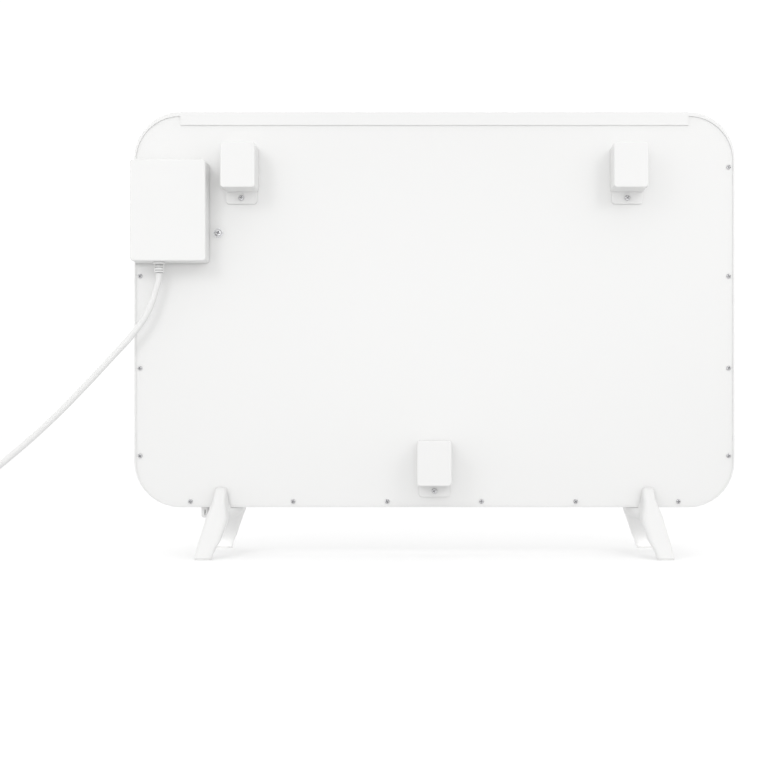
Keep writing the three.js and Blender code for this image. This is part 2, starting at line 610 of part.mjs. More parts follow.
const sensorBead = new THREE.SphereGeometry(SENSOR_BEAD, SMALL_SIDES, WIRE_SIDES);
add('sensor_lead', join(leadFromBoard('sensor', SIGNAL_LEVEL, (x, z) => [
  [x + WIRE_RING, SIGNAL_LEVEL, z - 3 * WIRE_RING],
  [SENSOR_X, SIGNAL_LEVEL, STUD_Z - 4 * STRIP_WIDTH],
  [SENSOR_X, SIGNAL_LEVEL, PANEL_MIDDLE - PANEL_HEIGHT / 4],
  [SENSOR_X, SIGNAL_LEVEL, PANEL_LIFT + ELEMENT_BOTTOM_MARGIN - 2 * WIRE_RING],
  [SENSOR_X, 0, PANEL_LIFT + 2 * PLATE_SCREW_INSET],
  [SENSOR_X, 0, PANEL_LIFT],
  [SENSOR_X, 0, sensorBeadZ],
]), sensorBead.translate(SENSOR_X, 0, sensorBeadZ)), [0xdadada, 0.6, 0]);
add('display_lead', leadFromBoard('display', SIGNAL_LEVEL, (x, z) => [
  [x - 2 * WIRE_RING, SIGNAL_LEVEL, z - WIRE_RING],
  [x - 3 * WIRE_RING, SIGNAL_LEVEL, PANEL_MIDDLE],
  [TOUCH_X - TOUCH_HEIGHT / 2, SIGNAL_LEVEL, TOUCH_Z + TOUCH_HEIGHT],
  [TOUCH_X - TOUCH_HEIGHT / 2, SIGNAL_LEVEL, TOUCH_Z + TOUCH_HEIGHT / 2],
  [TOUCH_X, SHELL_INSIDE - 2 * TOUCH_FLANGE - TOUCH_BOARD, TOUCH_Z],
]), [0xe6e6e6, 0.6, 0]);

function grommet() {
  const front = PLATE_FRONT + FIT;
  const rear = PLATE_REAR - FIT;
  return turned([[GROMMET_BORE, front + GROMMET_LIP], [GROMMET_FLANGE, front + GROMMET_LIP],
    [GROMMET_FLANGE, front], [GROMMET_NECK, front], [GROMMET_NECK, rear], [GROMMET_FLANGE, rear],
    [GROMMET_FLANGE, rear - GROMMET_LIP], [GROMMET_BORE, rear - GROMMET_LIP],
    [GROMMET_BORE, front + GROMMET_LIP]]).translate(BOX_X, 0, GROMMET_Z);
}

add('wire_grommet', grommet(), BLACK_PLASTIC);

// Earth screw with its toothed washer
function toothedWasher() {
  const shape = new THREE.Shape();
  const count = 2 * WASHER_TEETH;
  for (let k = 0; k < count; k += 1) {
    const radius = WASHER_RADIUS - (k % 2) * WASHER_TOOTH;
    const angle = (2 * Math.PI * k) / count;
    const place = [radius * Math.cos(angle), radius * Math.sin(angle)];
    if (k === 0) shape.moveTo(...place);
    else shape.lineTo(...place);
  }
  const ring = slab(shape, PLATE_REAR - FIT, PLATE_REAR - FIT - WASHER);
  const bore = bar(EARTH_SHANK + FIT, PLATE_REAR, PLATE_REAR - 2 * FIT - WASHER, 'y', SMALL_SIDES);
  return cut(ring, bore).translate(EARTH_X, 0, EARTH_Z);
}

add('earth_washer', toothedWasher(), STEEL);
add('earth_screw', screw(EARTH_HEAD, EARTH_HEAD_HEIGHT, EARTH_SHANK, EARTH_LENGTH, ROUND_SIDES)
  .translate(EARTH_X, PLATE_REAR - 2 * FIT - WASHER, EARTH_Z), STEEL);

// Touch strip
function touchLens() {
  const front = slab(roundRect(TOUCH_WIDTH, TOUCH_HEIGHT, TOUCH_CORNER), FRONT_Y, SHELL_INSIDE - 2 * FIT);
  const back = slab(roundRect(TOUCH_WIDTH + 2 * TOUCH_FLANGE, TOUCH_HEIGHT + 2 * TOUCH_FLANGE,
    TOUCH_CORNER + TOUCH_FLANGE), SHELL_INSIDE - FIT, FRONT_Y - TOUCH_LENS - FIT);
  return join(front, back).translate(TOUCH_X, 0, TOUCH_Z);
}

const TOUCH_BOARD_FRONT = FRONT_Y - TOUCH_LENS - 2 * FIT;
add('touch_lens', touchLens(), [0x0e0f11, 0.1, 0]);
add('touch_board', slab(roundRect(TOUCH_WIDTH, TOUCH_HEIGHT, TOUCH_CORNER), TOUCH_BOARD_FRONT,
  TOUCH_BOARD_FRONT - TOUCH_BOARD).translate(TOUCH_X, 0, TOUCH_Z), BOARD_GREEN);

// Spacers, hollow towards the plate, with one screwed tab below
function bracket() {
  const start = PLATE_REAR - FIT;
  const end = PLATE_REAR - BRACKET_DEPTH;
  const outside = softBox(BRACKET_WIDTH, BRACKET_HEIGHT, BRACKET_CORNER, start, end, 0, BRACKET_EDGE);
  const inside = softBox(BRACKET_WIDTH - 2 * BRACKET_WALL, BRACKET_HEIGHT - 2 * BRACKET_WALL,
    BRACKET_CORNER - BRACKET_WALL / 2, start + OVERRUN, end + BRACKET_WALL, 0, 0);
  const rib = block(-BRACKET_RIB / 2, BRACKET_RIB / 2, start - OVERRUN, end + BRACKET_WALL / 2,
    BRACKET_WALL / 2 - BRACKET_HEIGHT / 2, BRACKET_HEIGHT / 2 - BRACKET_WALL / 2);
  const tabHeight = BRACKET_TAB + BRACKET_CORNER;
  const tab = slab(roundRect(BRACKET_TAB_WIDTH, tabHeight, BRACKET_CORNER), start,
    start - BRACKET_TAB_THICKNESS)
    .translate(0, 0, tabHeight / 2 - BRACKET_TAB - BRACKET_HEIGHT / 2);
  const hole = bar(BRACKET_SCREW_SHANK + FIT, start + FIT, start - BRACKET_TAB_THICKNESS - FIT, 'y',
    SMALL_SIDES)
    .translate(0, 0, -tabScrewDrop);
  return cut(join(cut(outside, inside), rib, cut(tab, inside)), hole);
}

const bracketForm = bracket();
Object.entries(bracketPlaces).forEach(([name, [x, z]]) => {
  add(name, bracketForm.clone(), WHITE_PLASTIC).position.set(x, 0, z);
});
const bracketScrewLength = BRACKET_TAB_THICKNESS + PLATE + RAIL_SHEET + RAIL_NUT_HEIGHT + 2 * FIT;
const bracketScrew = screw(BRACKET_SCREW_HEAD, BRACKET_SCREW_HEAD_HEIGHT, BRACKET_SCREW_SHANK,
  bracketScrewLength)
  .translate(0, PLATE_REAR - BRACKET_TAB_THICKNESS - 2 * FIT, -tabScrewDrop);
Object.entries(bracketPlaces).forEach(([name, [x, z]]) => {
  add(name.replace('bracket', 'bracket_screw'), bracketScrew.clone(), STEEL).position.set(x, 0, z);
});

// Feet: one loft from the rear tip over the hub to the front tip, with a slot for the panel's edge
const FOOT_TOP = PANEL_LIFT + FOOT_PRONG_RISE;
const FOOT_SHOULDER = PANEL_DEPTH / 2 + FOOT_PRONG_DEPTH;
const FOOT_CROTCH = PANEL_LIFT - FOOT_HUB;
const FOOT_SECTION_SIDES = 20;
const FOOT_SECTION_POWER = 2.6;
const FOOT_TOP_POWER = 5;
const FOOT_STATION_SHARES = [0, 0.06, 0.2, 0.36, 0.52, 0.68, 0.8, 0.9, 1];
const FOOT_WAIST_SHARE = 0.537;
const FOOT_HEIGHT_SHARES = [0, 0.134, 0.269, 0.403, FOOT_WAIST_SHARE, 0.694, 0.836, 1];
const FOOT_WIDTH_SHARES = [0, 0.2, 0.85, 0.9, 1, 0.46, 0.02, 0];
const FOOT_LEAN_SHARES = [1, 0.82, 0.53, 0.33, 0.14, 0.09, 0.05, 0];
const FOOT_FLARE_SHARES = [0.1, 0.17, 0.22, 0.37, 0.54, 1, 0.45, 0];

function between(shares, values, share) {
  const next = Math.max(1, shares.findIndex((value) => value >= share));
  const part = (share - shares[next - 1]) / (shares[next] - shares[next - 1]);
  return THREE.MathUtils.lerp(values[next - 1], values[next], THREE.MathUtils.clamp(part, 0, 1));
}

// Width of a foot at one height: tip, waist below the panel, then the narrow prong
function footWidth(z) {
  const share = THREE.MathUtils.clamp(z / FOOT_TOP, 0, 1);
  const base = share < FOOT_WAIST_SHARE ? FOOT_TIP_WIDTH : FOOT_PRONG_WIDTH;
  return base + (FOOT_WAIST_WIDTH - base) * between(FOOT_HEIGHT_SHARES, FOOT_WIDTH_SHARES, share);
}

function footCentre(z) {
  const share = THREE.MathUtils.clamp(z / FOOT_TOP, 0, 1);
  return FOOT_SPREAD + FOOT_LEAN * between(FOOT_HEIGHT_SHARES, FOOT_LEAN_SHARES, share);
}

// Extra width of the saddle and of the front leg on the inner side, widest just below the panel
function saddleFlare(y, z) {
  const ahead = THREE.MathUtils.clamp((y - FOOT_FLARE_START) / FOOT_FLARE_RUN, 0, 1);
  const share = THREE.MathUtils.clamp(z / FOOT_TOP, 0, 1);
  return FOOT_SADDLE_FLARE * ahead * between(FOOT_HEIGHT_SHARES, FOOT_FLARE_SHARES, share);
}

function footRing(inner, outer, side, topPower) {
  const ring = [];
  for (let k = 0; k < FOOT_SECTION_SIDES; k += 1) {
    const angle = (2 * Math.PI * k) / FOOT_SECTION_SIDES;
    const power = 2 / (Math.sin(angle) > 0 ? topPower : FOOT_SECTION_POWER);
    const across = Math.sign(Math.cos(angle)) * Math.abs(Math.cos(angle)) ** power;
    const along = Math.sign(Math.sin(angle)) * Math.abs(Math.sin(angle)) ** power;
    const place = inner.clone().lerp(outer, (1 + along) / 2);
    const flare = across < 0 ? saddleFlare(place.y, place.z) * across : 0;
    const x = footCentre(place.z) + (across * footWidth(place.z)) / 2 + flare;
    ring.push(new THREE.Vector3(side * x, place.y, place.z));
  }
  return ring;
}

function foot(side) {
  const leg = (direction) => FOOT_STATION_SHARES.map((share) => {
    const outerY = THREE.MathUtils.lerp(FOOT_REACH, FOOT_SHOULDER, share);
    const innerY = THREE.MathUtils.lerp(FOOT_REACH - FOOT_TIP_LENGTH, FOOT_HUB_HALF, share);
    const outerZ = THREE.MathUtils.lerp(PAD_THICKNESS + FIT, FOOT_TOP, share);
    const innerZ = THREE.MathUtils.lerp(PAD_THICKNESS + FIT, FOOT_CROTCH - FIT, share);
    return footRing(new THREE.Vector3(0, direction * innerY, innerZ),
      new THREE.Vector3(0, direction * outerY, outerZ), side,
      THREE.MathUtils.lerp(FOOT_SECTION_POWER, FOOT_TOP_POWER, share * share));
  });
  const crown = footRing(new THREE.Vector3(0, 0, FOOT_CROTCH), new THREE.Vector3(0, 0, FOOT_TOP), side,
    FOOT_TOP_POWER);
  const body = loft([...leg(-1), crown, ...leg(1).reverse()]);
  const slotHalf = PANEL_DEPTH / 2 + FIT;
  const x = side * FOOT_SPREAD;
  const slot = block(x - 2 * FOOT_WAIST_WIDTH, x + 2 * FOOT_WAIST_WIDTH, -slotHalf, slotHalf,
    PANEL_LIFT - FIT, FOOT_TOP + OVERRUN);
  const bore = bar(FOOT_SCREW_SHANK + FIT, 0, FOOT_TOP, 'z', SMALL_SIDES).translate(x, 0, 0);
  const sink = bar(FOOT_SCREW_HEAD + FIT, 0, PANEL_LIFT - FOOT_SCREW_FLOOR, 'z').translate(x, 0, 0);
  return cut(body, slot, bore, sink);
}

add('foot_left', foot(-1), WHITE_PLASTIC);
add('foot_right', foot(1), WHITE_PLASTIC);

const footScrewLength = FOOT_SCREW_FLOOR + SHEET + FOOT_BOSS_HEIGHT - 2 * FIT;
const footScrew = screw(FOOT_SCREW_HEAD, FOOT_SCREW_HEAD_HEIGHT, FOOT_SCREW_SHANK, footScrewLength,
  SMALL_SIDES)
  .rotateX(Math.PI / 2).translate(0, 0, PANEL_LIFT - FOOT_SCREW_FLOOR - FIT);
add('foot_screw_left', footScrew.clone(), STEEL).position.set(-FOOT_SPREAD, 0, 0);
add('foot_screw_right', footScrew.clone(), STEEL).position.set(FOOT_SPREAD, 0, 0);

function footPad(side, direction) {
  const place = FOOT_REACH - FOOT_TIP_LENGTH / 2;
  const width = FOOT_TIP_WIDTH / 2 - PAD_MARGIN;
  const length = FOOT_TIP_LENGTH / 2 - PAD_MARGIN;
  const ring = (z) => Array.from({ length: ROUND_SIDES }, (_, k) => {
    const angle = (2 * Math.PI * k) / ROUND_SIDES;
    return new THREE.Vector3(side * footCentre(0) + width * Math.cos(angle),
      direction * place + length * Math.sin(angle), z);
  });
  return loft([ring(0), ring(PAD_THICKNESS)]);
}

const SOFT_GREY = [0xc9c9c7, 0.8, 0];
add('foot_pad_left_rear', footPad(-1, -1), SOFT_GREY);
add('foot_pad_left_front', footPad(-1, 1), SOFT_GREY);
add('foot_pad_right_rear', footPad(1, -1), SOFT_GREY);
add('foot_pad_right_front', footPad(1, 1), SOFT_GREY);

// Room sensor: a slotted cap whose neck snaps into the bottom wall
function sensorHousing() {
  const top = PANEL_LIFT - FIT;
  const low = top - SENSOR_HEIGHT;
  const neckTop = PANEL_LIFT + SHEET + SENSOR_NECK_RISE;
  const profile = [[SENSOR_BORE, neckTop], [SENSOR_NECK, neckTop], [SENSOR_NECK, top], [SENSOR_RADIUS, top]];
  for (let step = 0; step <= EDGE_STEPS; step += 1) {
    const angle = ((step / EDGE_STEPS) * Math.PI) / 2;
    profile.push([SENSOR_RADIUS - SENSOR_EDGE + SENSOR_EDGE * Math.cos(angle),
      low + SENSOR_EDGE - SENSOR_EDGE * Math.sin(angle)]);
  }
  profile.push([0, low], [0, low + SENSOR_RADIUS / 2], [SENSOR_NECK - FIT, low + SENSOR_RADIUS / 2],
    [SENSOR_NECK - FIT, top - SENSOR_BORE], [SENSOR_BORE, top - SENSOR_BORE], [SENSOR_BORE, neckTop]);
  const cap = turned(profile).rotateX(Math.PI / 2);
  const slots = ['x', 'y'].map((axis) => {
    const sides = [SENSOR_RADIUS + OVERRUN, SENSOR_BORE / 3];
    const [x, y] = axis === 'x' ? sides : sides.reverse();
    return block(-x, x, -y, y, low + SENSOR_EDGE, top - SENSOR_EDGE);
  });
  return cut(cap, ...slots).translate(SENSOR_X, 0, 0);
}

add('sensor_housing', sensorHousing(), WHITE_PLASTIC);
// Mains switch, in a shallow well on the outer side of the control box
const SWITCH_LENGTH = 21;
const SWITCH_WIDTH = 15;
const SWITCH_CORNER = 1.6;
const SWITCH_BEZEL = 1.6;
const SWITCH_BODY = 12.5;
const SWITCH_BODY_INSET = 1.2;
const SWITCH_CLEARANCE = 0.5;
const SWITCH_WELL = 4.6;
const SWITCH_RISE = 15;
const ROCKER_RADIUS = 8.6;
const ROCKER_WIDTH = 10;
const ROCKER_VALLEY = 3.2;
const ROCKER_TILT = 12;
const ROCKER_PIVOT = 4;
const ROCKER_PIN = 1.2;
const ROCKER_PIN_REACH = 0.9;
const SWITCH_Z = BOX_Z + SWITCH_RISE;
const WELL_FLOOR = BOX_LEFT + SWITCH_WELL;

// Control box lower half, standing on the plate on four posts whose barbed pegs snap through it
function boxBase() {
  const outside = softBox(BOX_WIDTH, BOX_HEIGHT, BOX_CORNER, BASE_FRONT, BASE_RIM_REAR, 0, 0);
  const lipWidth = BOX_WIDTH - 2 * BOX_WALL - 2 * FIT;
  const lipHeight = BOX_HEIGHT - 2 * BOX_WALL - 2 * FIT;
  const lip = softBox(lipWidth, lipHeight, BOX_CORNER - BOX_WALL, BASE_INSIDE, BASE_RIM_REAR - BASE_LIP,
    0, 0);
  const inside = block(BASE_LIP_WALL - lipWidth / 2, lipWidth / 2 - BASE_LIP_WALL, BASE_INSIDE,
    BASE_RIM_REAR - OVERRUN, BASE_LIP_WALL - lipHeight / 2, lipHeight / 2 - BASE_LIP_WALL);
  const tray = cut(join(outside, lip), inside).translate(BOX_X, 0, BOX_Z);
  const postFoot = PLATE_REAR - FIT;
  const barb = PLATE_FRONT + FIT;
  const peg = turned([[0, BASE_FRONT - FIT], [BASE_POST, BASE_FRONT - FIT], [BASE_POST, postFoot],
    [PEG_NECK, postFoot], [PEG_NECK, barb], [PEG_BARB, barb], [PEG_TIP, barb + PEG_BARB_LENGTH],
    [0, barb + PEG_BARB_LENGTH]], SMALL_SIDES);
  const pegs = basePegPlaces.map(([x, z]) => peg.clone().translate(x, 0, z));
  const wireHole = bar(GROMMET_FLANGE + FIT, BASE_FRONT + FIT, BASE_INSIDE - FIT)
    .translate(BOX_X, 0, GROMMET_Z);
  return cut(join(tray, ...pegs), wireHole);
}

// Gland sizes, read on the underside of the box
const CORD = 3.2;
const GLAND_FLANGE = 6.2;
const GLAND_FLANGE_HEIGHT = 1.7;
const GLAND_SLEEVE = 4;
const GLAND_RINGS = [[4.5, 3.7, 4.7], [4.9, 5.7, 7.3], [4.9, 8.4, 9.9]];
const GLAND_OUTSIDE = 10.6;
const GLAND_NECK = 5.2;
const GLAND_NECK_HEIGHT = 11;
const GLAND_NUT = 7.6;
const GLAND_NUT_HEIGHT = 4;

// Cover screws, down through the hidden top wall into the lip
const COVER_SCREW_SPREAD = 27;
const COVER_SCREW_LENGTH = 5.5;
const COVER_SCREW_Y = BASE_RIM_REAR - BASE_LIP / 2;
const coverScrewPlaces = [BOX_X - COVER_SCREW_SPREAD, BOX_X + COVER_SCREW_SPREAD];

function boxCover() {
  const start = BASE_RIM_REAR - FIT;
  const outside = softBox(BOX_WIDTH, BOX_HEIGHT, BOX_CORNER, start, BOX_REAR, 0, BOX_EDGE)
    .translate(BOX_X, 0, BOX_Z);
  const inside = softBox(BOX_WIDTH - 2 * BOX_WALL, BOX_HEIGHT - 2 * BOX_WALL, BOX_CORNER - BOX_WALL,
    start + OVERRUN, BOX_REAR + BOX_WALL, 0, 0).translate(BOX_X, 0, BOX_Z);
  const halfLength = SWITCH_LENGTH / 2 + SWITCH_CLEARANCE;
  const halfWidth = SWITCH_WIDTH / 2 + SWITCH_CLEARANCE;
  const well = block(BOX_LEFT + BOX_WALL / 2, WELL_FLOOR + BOX_WALL, BOX_MID_Y - halfWidth - BOX_WALL,
    BOX_MID_Y + halfWidth + BOX_WALL, SWITCH_Z - halfLength - BOX_WALL, SWITCH_Z + halfLength + BOX_WALL);
  const wellSpace = block(BOX_LEFT - OVERRUN, WELL_FLOOR, BOX_MID_Y - halfWidth, BOX_MID_Y + halfWidth,
    SWITCH_Z - halfLength, SWITCH_Z + halfLength);
  const bodyLength = SWITCH_LENGTH / 2 - SWITCH_BODY_INSET + FIT;
  const bodyWidth = SWITCH_WIDTH / 2 - SWITCH_BODY_INSET + FIT;
  const bodyHole = block(BOX_LEFT, WELL_FLOOR + 2 * BOX_WALL, BOX_MID_Y - bodyWidth, BOX_MID_Y + bodyWidth,
    SWITCH_Z - bodyLength, SWITCH_Z + bodyLength);
  const glandHole = bar(GLAND_NECK + FIT, BOX_BOTTOM - FIT, BOX_BOTTOM + BOX_WALL + FIT, 'z')
    .translate(GLAND_X, BOX_MID_Y, 0);
  const screwHoles = coverScrewPlaces.map((x) => bar(SCREW_SHANK + FIT, BOX_TOP - BOX_WALL - FIT,
    BOX_TOP + FIT, 'z', SMALL_SIDES)
    .translate(x, COVER_SCREW_Y, 0));
  return cut(join(cut(outside, inside), well), wellSpace, bodyHole, glandHole, ...screwHoles);
}

const baseWithScrewHoles = cut(boxBase(), ...coverScrewPlaces.map((x) =>
  bar(SCREW_SHANK + FIT, BOX_TOP - BOX_WALL - COVER_SCREW_LENGTH, BOX_TOP, 'z', SMALL_SIDES)
    .translate(x, COVER_SCREW_Y, 0)));
add('box_base', baseWithScrewHoles, WHITE_PLASTIC);
add('box_cover', boxCover(), WHITE_PLASTIC);

const coverScrew = screw(SCREW_HEAD, SCREW_HEAD_HEIGHT / 2, SCREW_SHANK, COVER_SCREW_LENGTH)
  .rotateX(-Math.PI / 2).translate(0, COVER_SCREW_Y, BOX_TOP + FIT);
['cover_screw_left', 'cover_screw_right'].forEach((name, k) => {
  add(name, coverScrew.clone().translate(coverScrewPlaces[k], 0, 0), STEEL);
});

// Circuit board and what stands on it
const BOARD_WIDTH = 60;
const BOARD_HEIGHT = 32;
const BOARD_CORNER = 2;
const BOARD_RISE = 25;
const BOARD_REAR = BOARD_Y - BOARD;
const BOARD_Z = BOX_BOTTOM + BOARD_RISE;
const STANDOFF = 2;

function onBoard(width, height, depth, x, z) {
  return softBox(width, height, BOARD_CORNER / 2, BOARD_REAR - FIT, BOARD_REAR - FIT - depth, 0,
    BOARD_CORNER / 4)
    .translate(BOX_X + x, 0, BOARD_Z + z);
}

function controlBoard() {
  const board = slab(roundRect(BOARD_WIDTH, BOARD_HEIGHT, BOARD_CORNER), BOARD_Y, BOARD_REAR)
    .translate(BOX_X, 0, BOARD_Z);
  const x = BOARD_WIDTH / 2 - 2 * STANDOFF;
  const z = BOARD_HEIGHT / 2 - 2 * STANDOFF;
  const standoffs = [-1, 1].flatMap((side) => [-1, 1].map((rise) =>
    bar(STANDOFF, BASE_INSIDE - FIT, BOARD_Y - BOARD / 2, 'y', SMALL_SIDES)
      .translate(BOX_X + side * x, 0, BOARD_Z + rise * z)));
  return join(board, ...standoffs);
}

const PART_MARGIN = 1.5;
const RELAY = [10, 18, 15];
const TRANSFORMER = [20, 17, 16];
const TERMINALS = [24, 10, 12];
const CAPACITOR_RADIUS = 4;
const CAPACITOR_LENGTH = 14;
const relayX = (BOARD_WIDTH - RELAY[0]) / 2 - PART_MARGIN;
const lowPart = (height) => (height - BOARD_HEIGHT) / 2 + PART_MARGIN;
const terminalZ = (BOARD_HEIGHT - TERMINALS[1]) / 2 - PART_MARGIN;
add('control_board', controlBoard(), BOARD_GREEN);
add('relay', onBoard(...RELAY, relayX, lowPart(RELAY[1])), [0x23457a, 0.5, 0]);
add('transformer', onBoard(...TRANSFORMER, relayX - (RELAY[0] + TRANSFORMER[0]) / 2 - PART_MARGIN,
  lowPart(TRANSFORMER[1])), [0x2c2c2e, 0.6, 0]);
add('terminal_block', onBoard(...TERMINALS, GLAND_X - BOX_X, terminalZ), [0x2e7d4f, 0.5, 0]);
add('capacitor', bar(CAPACITOR_RADIUS, BOARD_REAR - FIT, BOARD_REAR - FIT - CAPACITOR_LENGTH)
  .translate(BOX_X - BOARD_WIDTH / 2 + CAPACITOR_RADIUS + PART_MARGIN, 0,
    BOARD_Z + lowPart(2 * CAPACITOR_RADIUS)),
[0x1b2f5e, 0.4, 0]);

// Mains switch: local X runs up the box, local Y points out of it
const switchGroup = new THREE.Group();
const upAxis = new THREE.Vector3(0, 0, 1);
const outAxis = new THREE.Vector3(-1, 0, 0);
const depthAxis = new THREE.Vector3(0, -1, 0);
switchGroup.quaternion.setFromRotationMatrix(new THREE.Matrix4().makeBasis(upAxis, outAxis, depthAxis));
switchGroup.position.set(WELL_FLOOR, BOX_MID_Y, SWITCH_Z);
heater.add(switchGroup);

function switchHousing() {
  const settings = { depth: SWITCH_BEZEL, bevelEnabled: false, curveSegments: BOX_CORNER_STEPS };
  const bezel = new THREE.ExtrudeGeometry(roundRect(SWITCH_LENGTH, SWITCH_WIDTH, SWITCH_CORNER), settings)
    .rotateX(-Math.PI / 2).translate(0, FIT, 0);
  const x = SWITCH_LENGTH / 2 - SWITCH_BODY_INSET;
  const z = SWITCH_WIDTH / 2 - SWITCH_BODY_INSET;
  const body = block(-x, x, FIT + SWITCH_BEZEL / 2, -SWITCH_BODY, -z, z);
  const space = ROCKER_RADIUS + FIT;
  const hollow = block(-space, space, -SWITCH_BODY + SWITCH_BEZEL, FIT + SWITCH_BEZEL + OVERRUN,
    -ROCKER_WIDTH / 2 - FIT, ROCKER_WIDTH / 2 + FIT);
  const pinHole = bar(ROCKER_PIN + FIT, -ROCKER_WIDTH / 2 - ROCKER_PIN_REACH - FIT,
    ROCKER_WIDTH / 2 + ROCKER_PIN_REACH + FIT, 'z', SMALL_SIDES).translate(0, rockerPivot, 0);
  const tags = [-1, 0, 1].map((place) => block(place * (x / 2) - SWITCH_BEZEL, place * (x / 2) + SWITCH_BEZEL,
    SWITCH_BEZEL - SWITCH_BODY, -SWITCH_BODY - SWITCH_WELL, -SWITCH_BEZEL / 4, SWITCH_BEZEL / 4));
  return join(cut(join(bezel, body), hollow, pinHole), ...tags);
}

const rockerPivot = FIT + SWITCH_BEZEL - ROCKER_PIVOT;

// Rocker: a round belly about its pivot, under two flats that meet in a valley
function rocker() {
  const tilt = THREE.MathUtils.degToRad(ROCKER_TILT);
  const slope = Math.tan(tilt);
  const top = (u) => ROCKER_VALLEY + slope * Math.abs(u);
  let rim = 0;
  while (Math.hypot(rim, top(rim)) < ROCKER_RADIUS) rim += ROCKER_RADIUS / 400;
  const start = Math.atan2(top(rim), rim);
  const shape = new THREE.Shape();
  shape.moveTo(0, ROCKER_VALLEY);
  shape.lineTo(-rim, top(rim));
  shape.absarc(0, 0, ROCKER_RADIUS, Math.PI - start, Math.PI + start, false);
  shape.lineTo(ROCKER_RADIUS * Math.cos(start), -ROCKER_RADIUS * Math.sin(start));
  shape.absarc(0, 0, ROCKER_RADIUS, -start, start, false);
  const settings = { depth: ROCKER_WIDTH, bevelEnabled: false, curveSegments: SMALL_SIDES };
  const body = new THREE.ExtrudeGeometry(shape, settings).translate(0, 0, -ROCKER_WIDTH / 2);
  const reach = ROCKER_WIDTH / 2 + ROCKER_PIN_REACH;
  return join(body, bar(ROCKER_PIN, -reach, reach, 'z', SMALL_SIDES));
}

add('switch_housing', switchHousing(), BLACK_PLASTIC, switchGroup);
const rockerMesh = add('power_rocker', rocker(), BLACK_PLASTIC, switchGroup);
rockerMesh.position.set(0, rockerPivot, 0);
rockerMesh.rotation.z = THREE.MathUtils.degToRad(ROCKER_TILT);

// Tip-over switch: a weighted pendulum on a pin between two cheeks
const TIP_CHEEK = 1.5;
const TIP_CHEEK_HEIGHT = 12;
const TIP_HALF = 8;
const TIP_BASE_HEIGHT = 34;
const TIP_PIN = 1.2;
const TIP_ARM = 15;
const TIP_ARM_WIDTH = 3;
const TIP_WEIGHT = 4.6;
const TIP_WEIGHT_LENGTH = 10;
const TIP_PIVOT_DROP = 10;
const TIP_OFFSET = 12;
const TIP_SENSOR_HEIGHT = 6;
const TIP_X = BOX_X + TIP_OFFSET;
const TIP_PIVOT_Z = BOX_TOP - TIP_PIVOT_DROP;
const tipBaseRear = BASE_INSIDE - FIT - TIP_CHEEK;

function tipFrame() {
  const top = TIP_PIVOT_Z + TIP_CHEEK_HEIGHT / 2;
  const base = block(-TIP_HALF - TIP_CHEEK, TIP_HALF + TIP_CHEEK, BASE_INSIDE - FIT, tipBaseRear,
    top - TIP_BASE_HEIGHT, top);
  const cheeks = [-1, 1].map((side) => block(side * TIP_HALF, side * (TIP_HALF + TIP_CHEEK),
    tipBaseRear + TIP_CHEEK / 2,
    BOX_MID_Y - TIP_CHEEK_HEIGHT / 2, TIP_PIVOT_Z - TIP_CHEEK_HEIGHT / 2, top));
  const hole = bar(TIP_PIN + FIT, -TIP_HALF - 2 * TIP_CHEEK, TIP_HALF + 2 * TIP_CHEEK, 'x', SMALL_SIDES)
    .translate(0, BOX_MID_Y, TIP_PIVOT_Z);
  return cut(join(base, ...cheeks), hole).translate(TIP_X, 0, 0);
}

function tipPendulum() {
  const pin = bar(TIP_PIN, -TIP_HALF - TIP_CHEEK, TIP_HALF + TIP_CHEEK, 'x', SMALL_SIDES);
  const hub = bar(TIP_PIN * 2, -TIP_ARM_WIDTH, TIP_ARM_WIDTH, 'x', SMALL_SIDES);
  const arm = block(-TIP_ARM_WIDTH / 2, TIP_ARM_WIDTH / 2, -TIP_ARM_WIDTH / 4, TIP_ARM_WIDTH / 4,
    -TIP_ARM, 0);
  const weight = bar(TIP_WEIGHT, -TIP_WEIGHT_LENGTH / 2, TIP_WEIGHT_LENGTH / 2, 'x')
    .translate(0, 0, -TIP_ARM);
  return join(pin, hub, arm, weight);
}

add('tip_switch_frame', tipFrame(), STEEL);
add('tip_pendulum', tipPendulum(), [0xc2a25a, 0.35, 1]).position.set(TIP_X, BOX_MID_Y, TIP_PIVOT_Z);
const tipFrameLow = TIP_PIVOT_Z + TIP_CHEEK_HEIGHT / 2 - TIP_BASE_HEIGHT;
add('tip_microswitch', block(TIP_X - TIP_HALF + FIT, TIP_X + TIP_HALF - FIT, tipBaseRear - FIT,
  BOX_MID_Y - TIP_SENSOR_HEIGHT / 2, tipFrameLow, tipFrameLow + TIP_SENSOR_HEIGHT), BLACK_PLASTIC);

// Cord outlet: flange and ribbed sleeve outside, neck and nut inside
function strainRelief() {
  const bore = CORD + FIT;
  const flangeLow = -FIT - GLAND_FLANGE_HEIGHT;
  const end = -FIT - GLAND_OUTSIDE;
  const rings = GLAND_RINGS.flatMap(([radius, top, low]) =>
    [[GLAND_SLEEVE, -top], [radius, -top], [radius, -low], [GLAND_SLEEVE, -low]]);
  return turned([[bore, GLAND_NECK_HEIGHT], [GLAND_NECK, GLAND_NECK_HEIGHT], [GLAND_NECK, -FIT],
    [GLAND_FLANGE, -FIT], [GLAND_FLANGE, flangeLow], [GLAND_SLEEVE, flangeLow], ...rings,
    [GLAND_SLEEVE, end], [bore, end], [bore, GLAND_NECK_HEIGHT]])
    .rotateX(Math.PI / 2).translate(GLAND_X, BOX_MID_Y, BOX_BOTTOM);
}

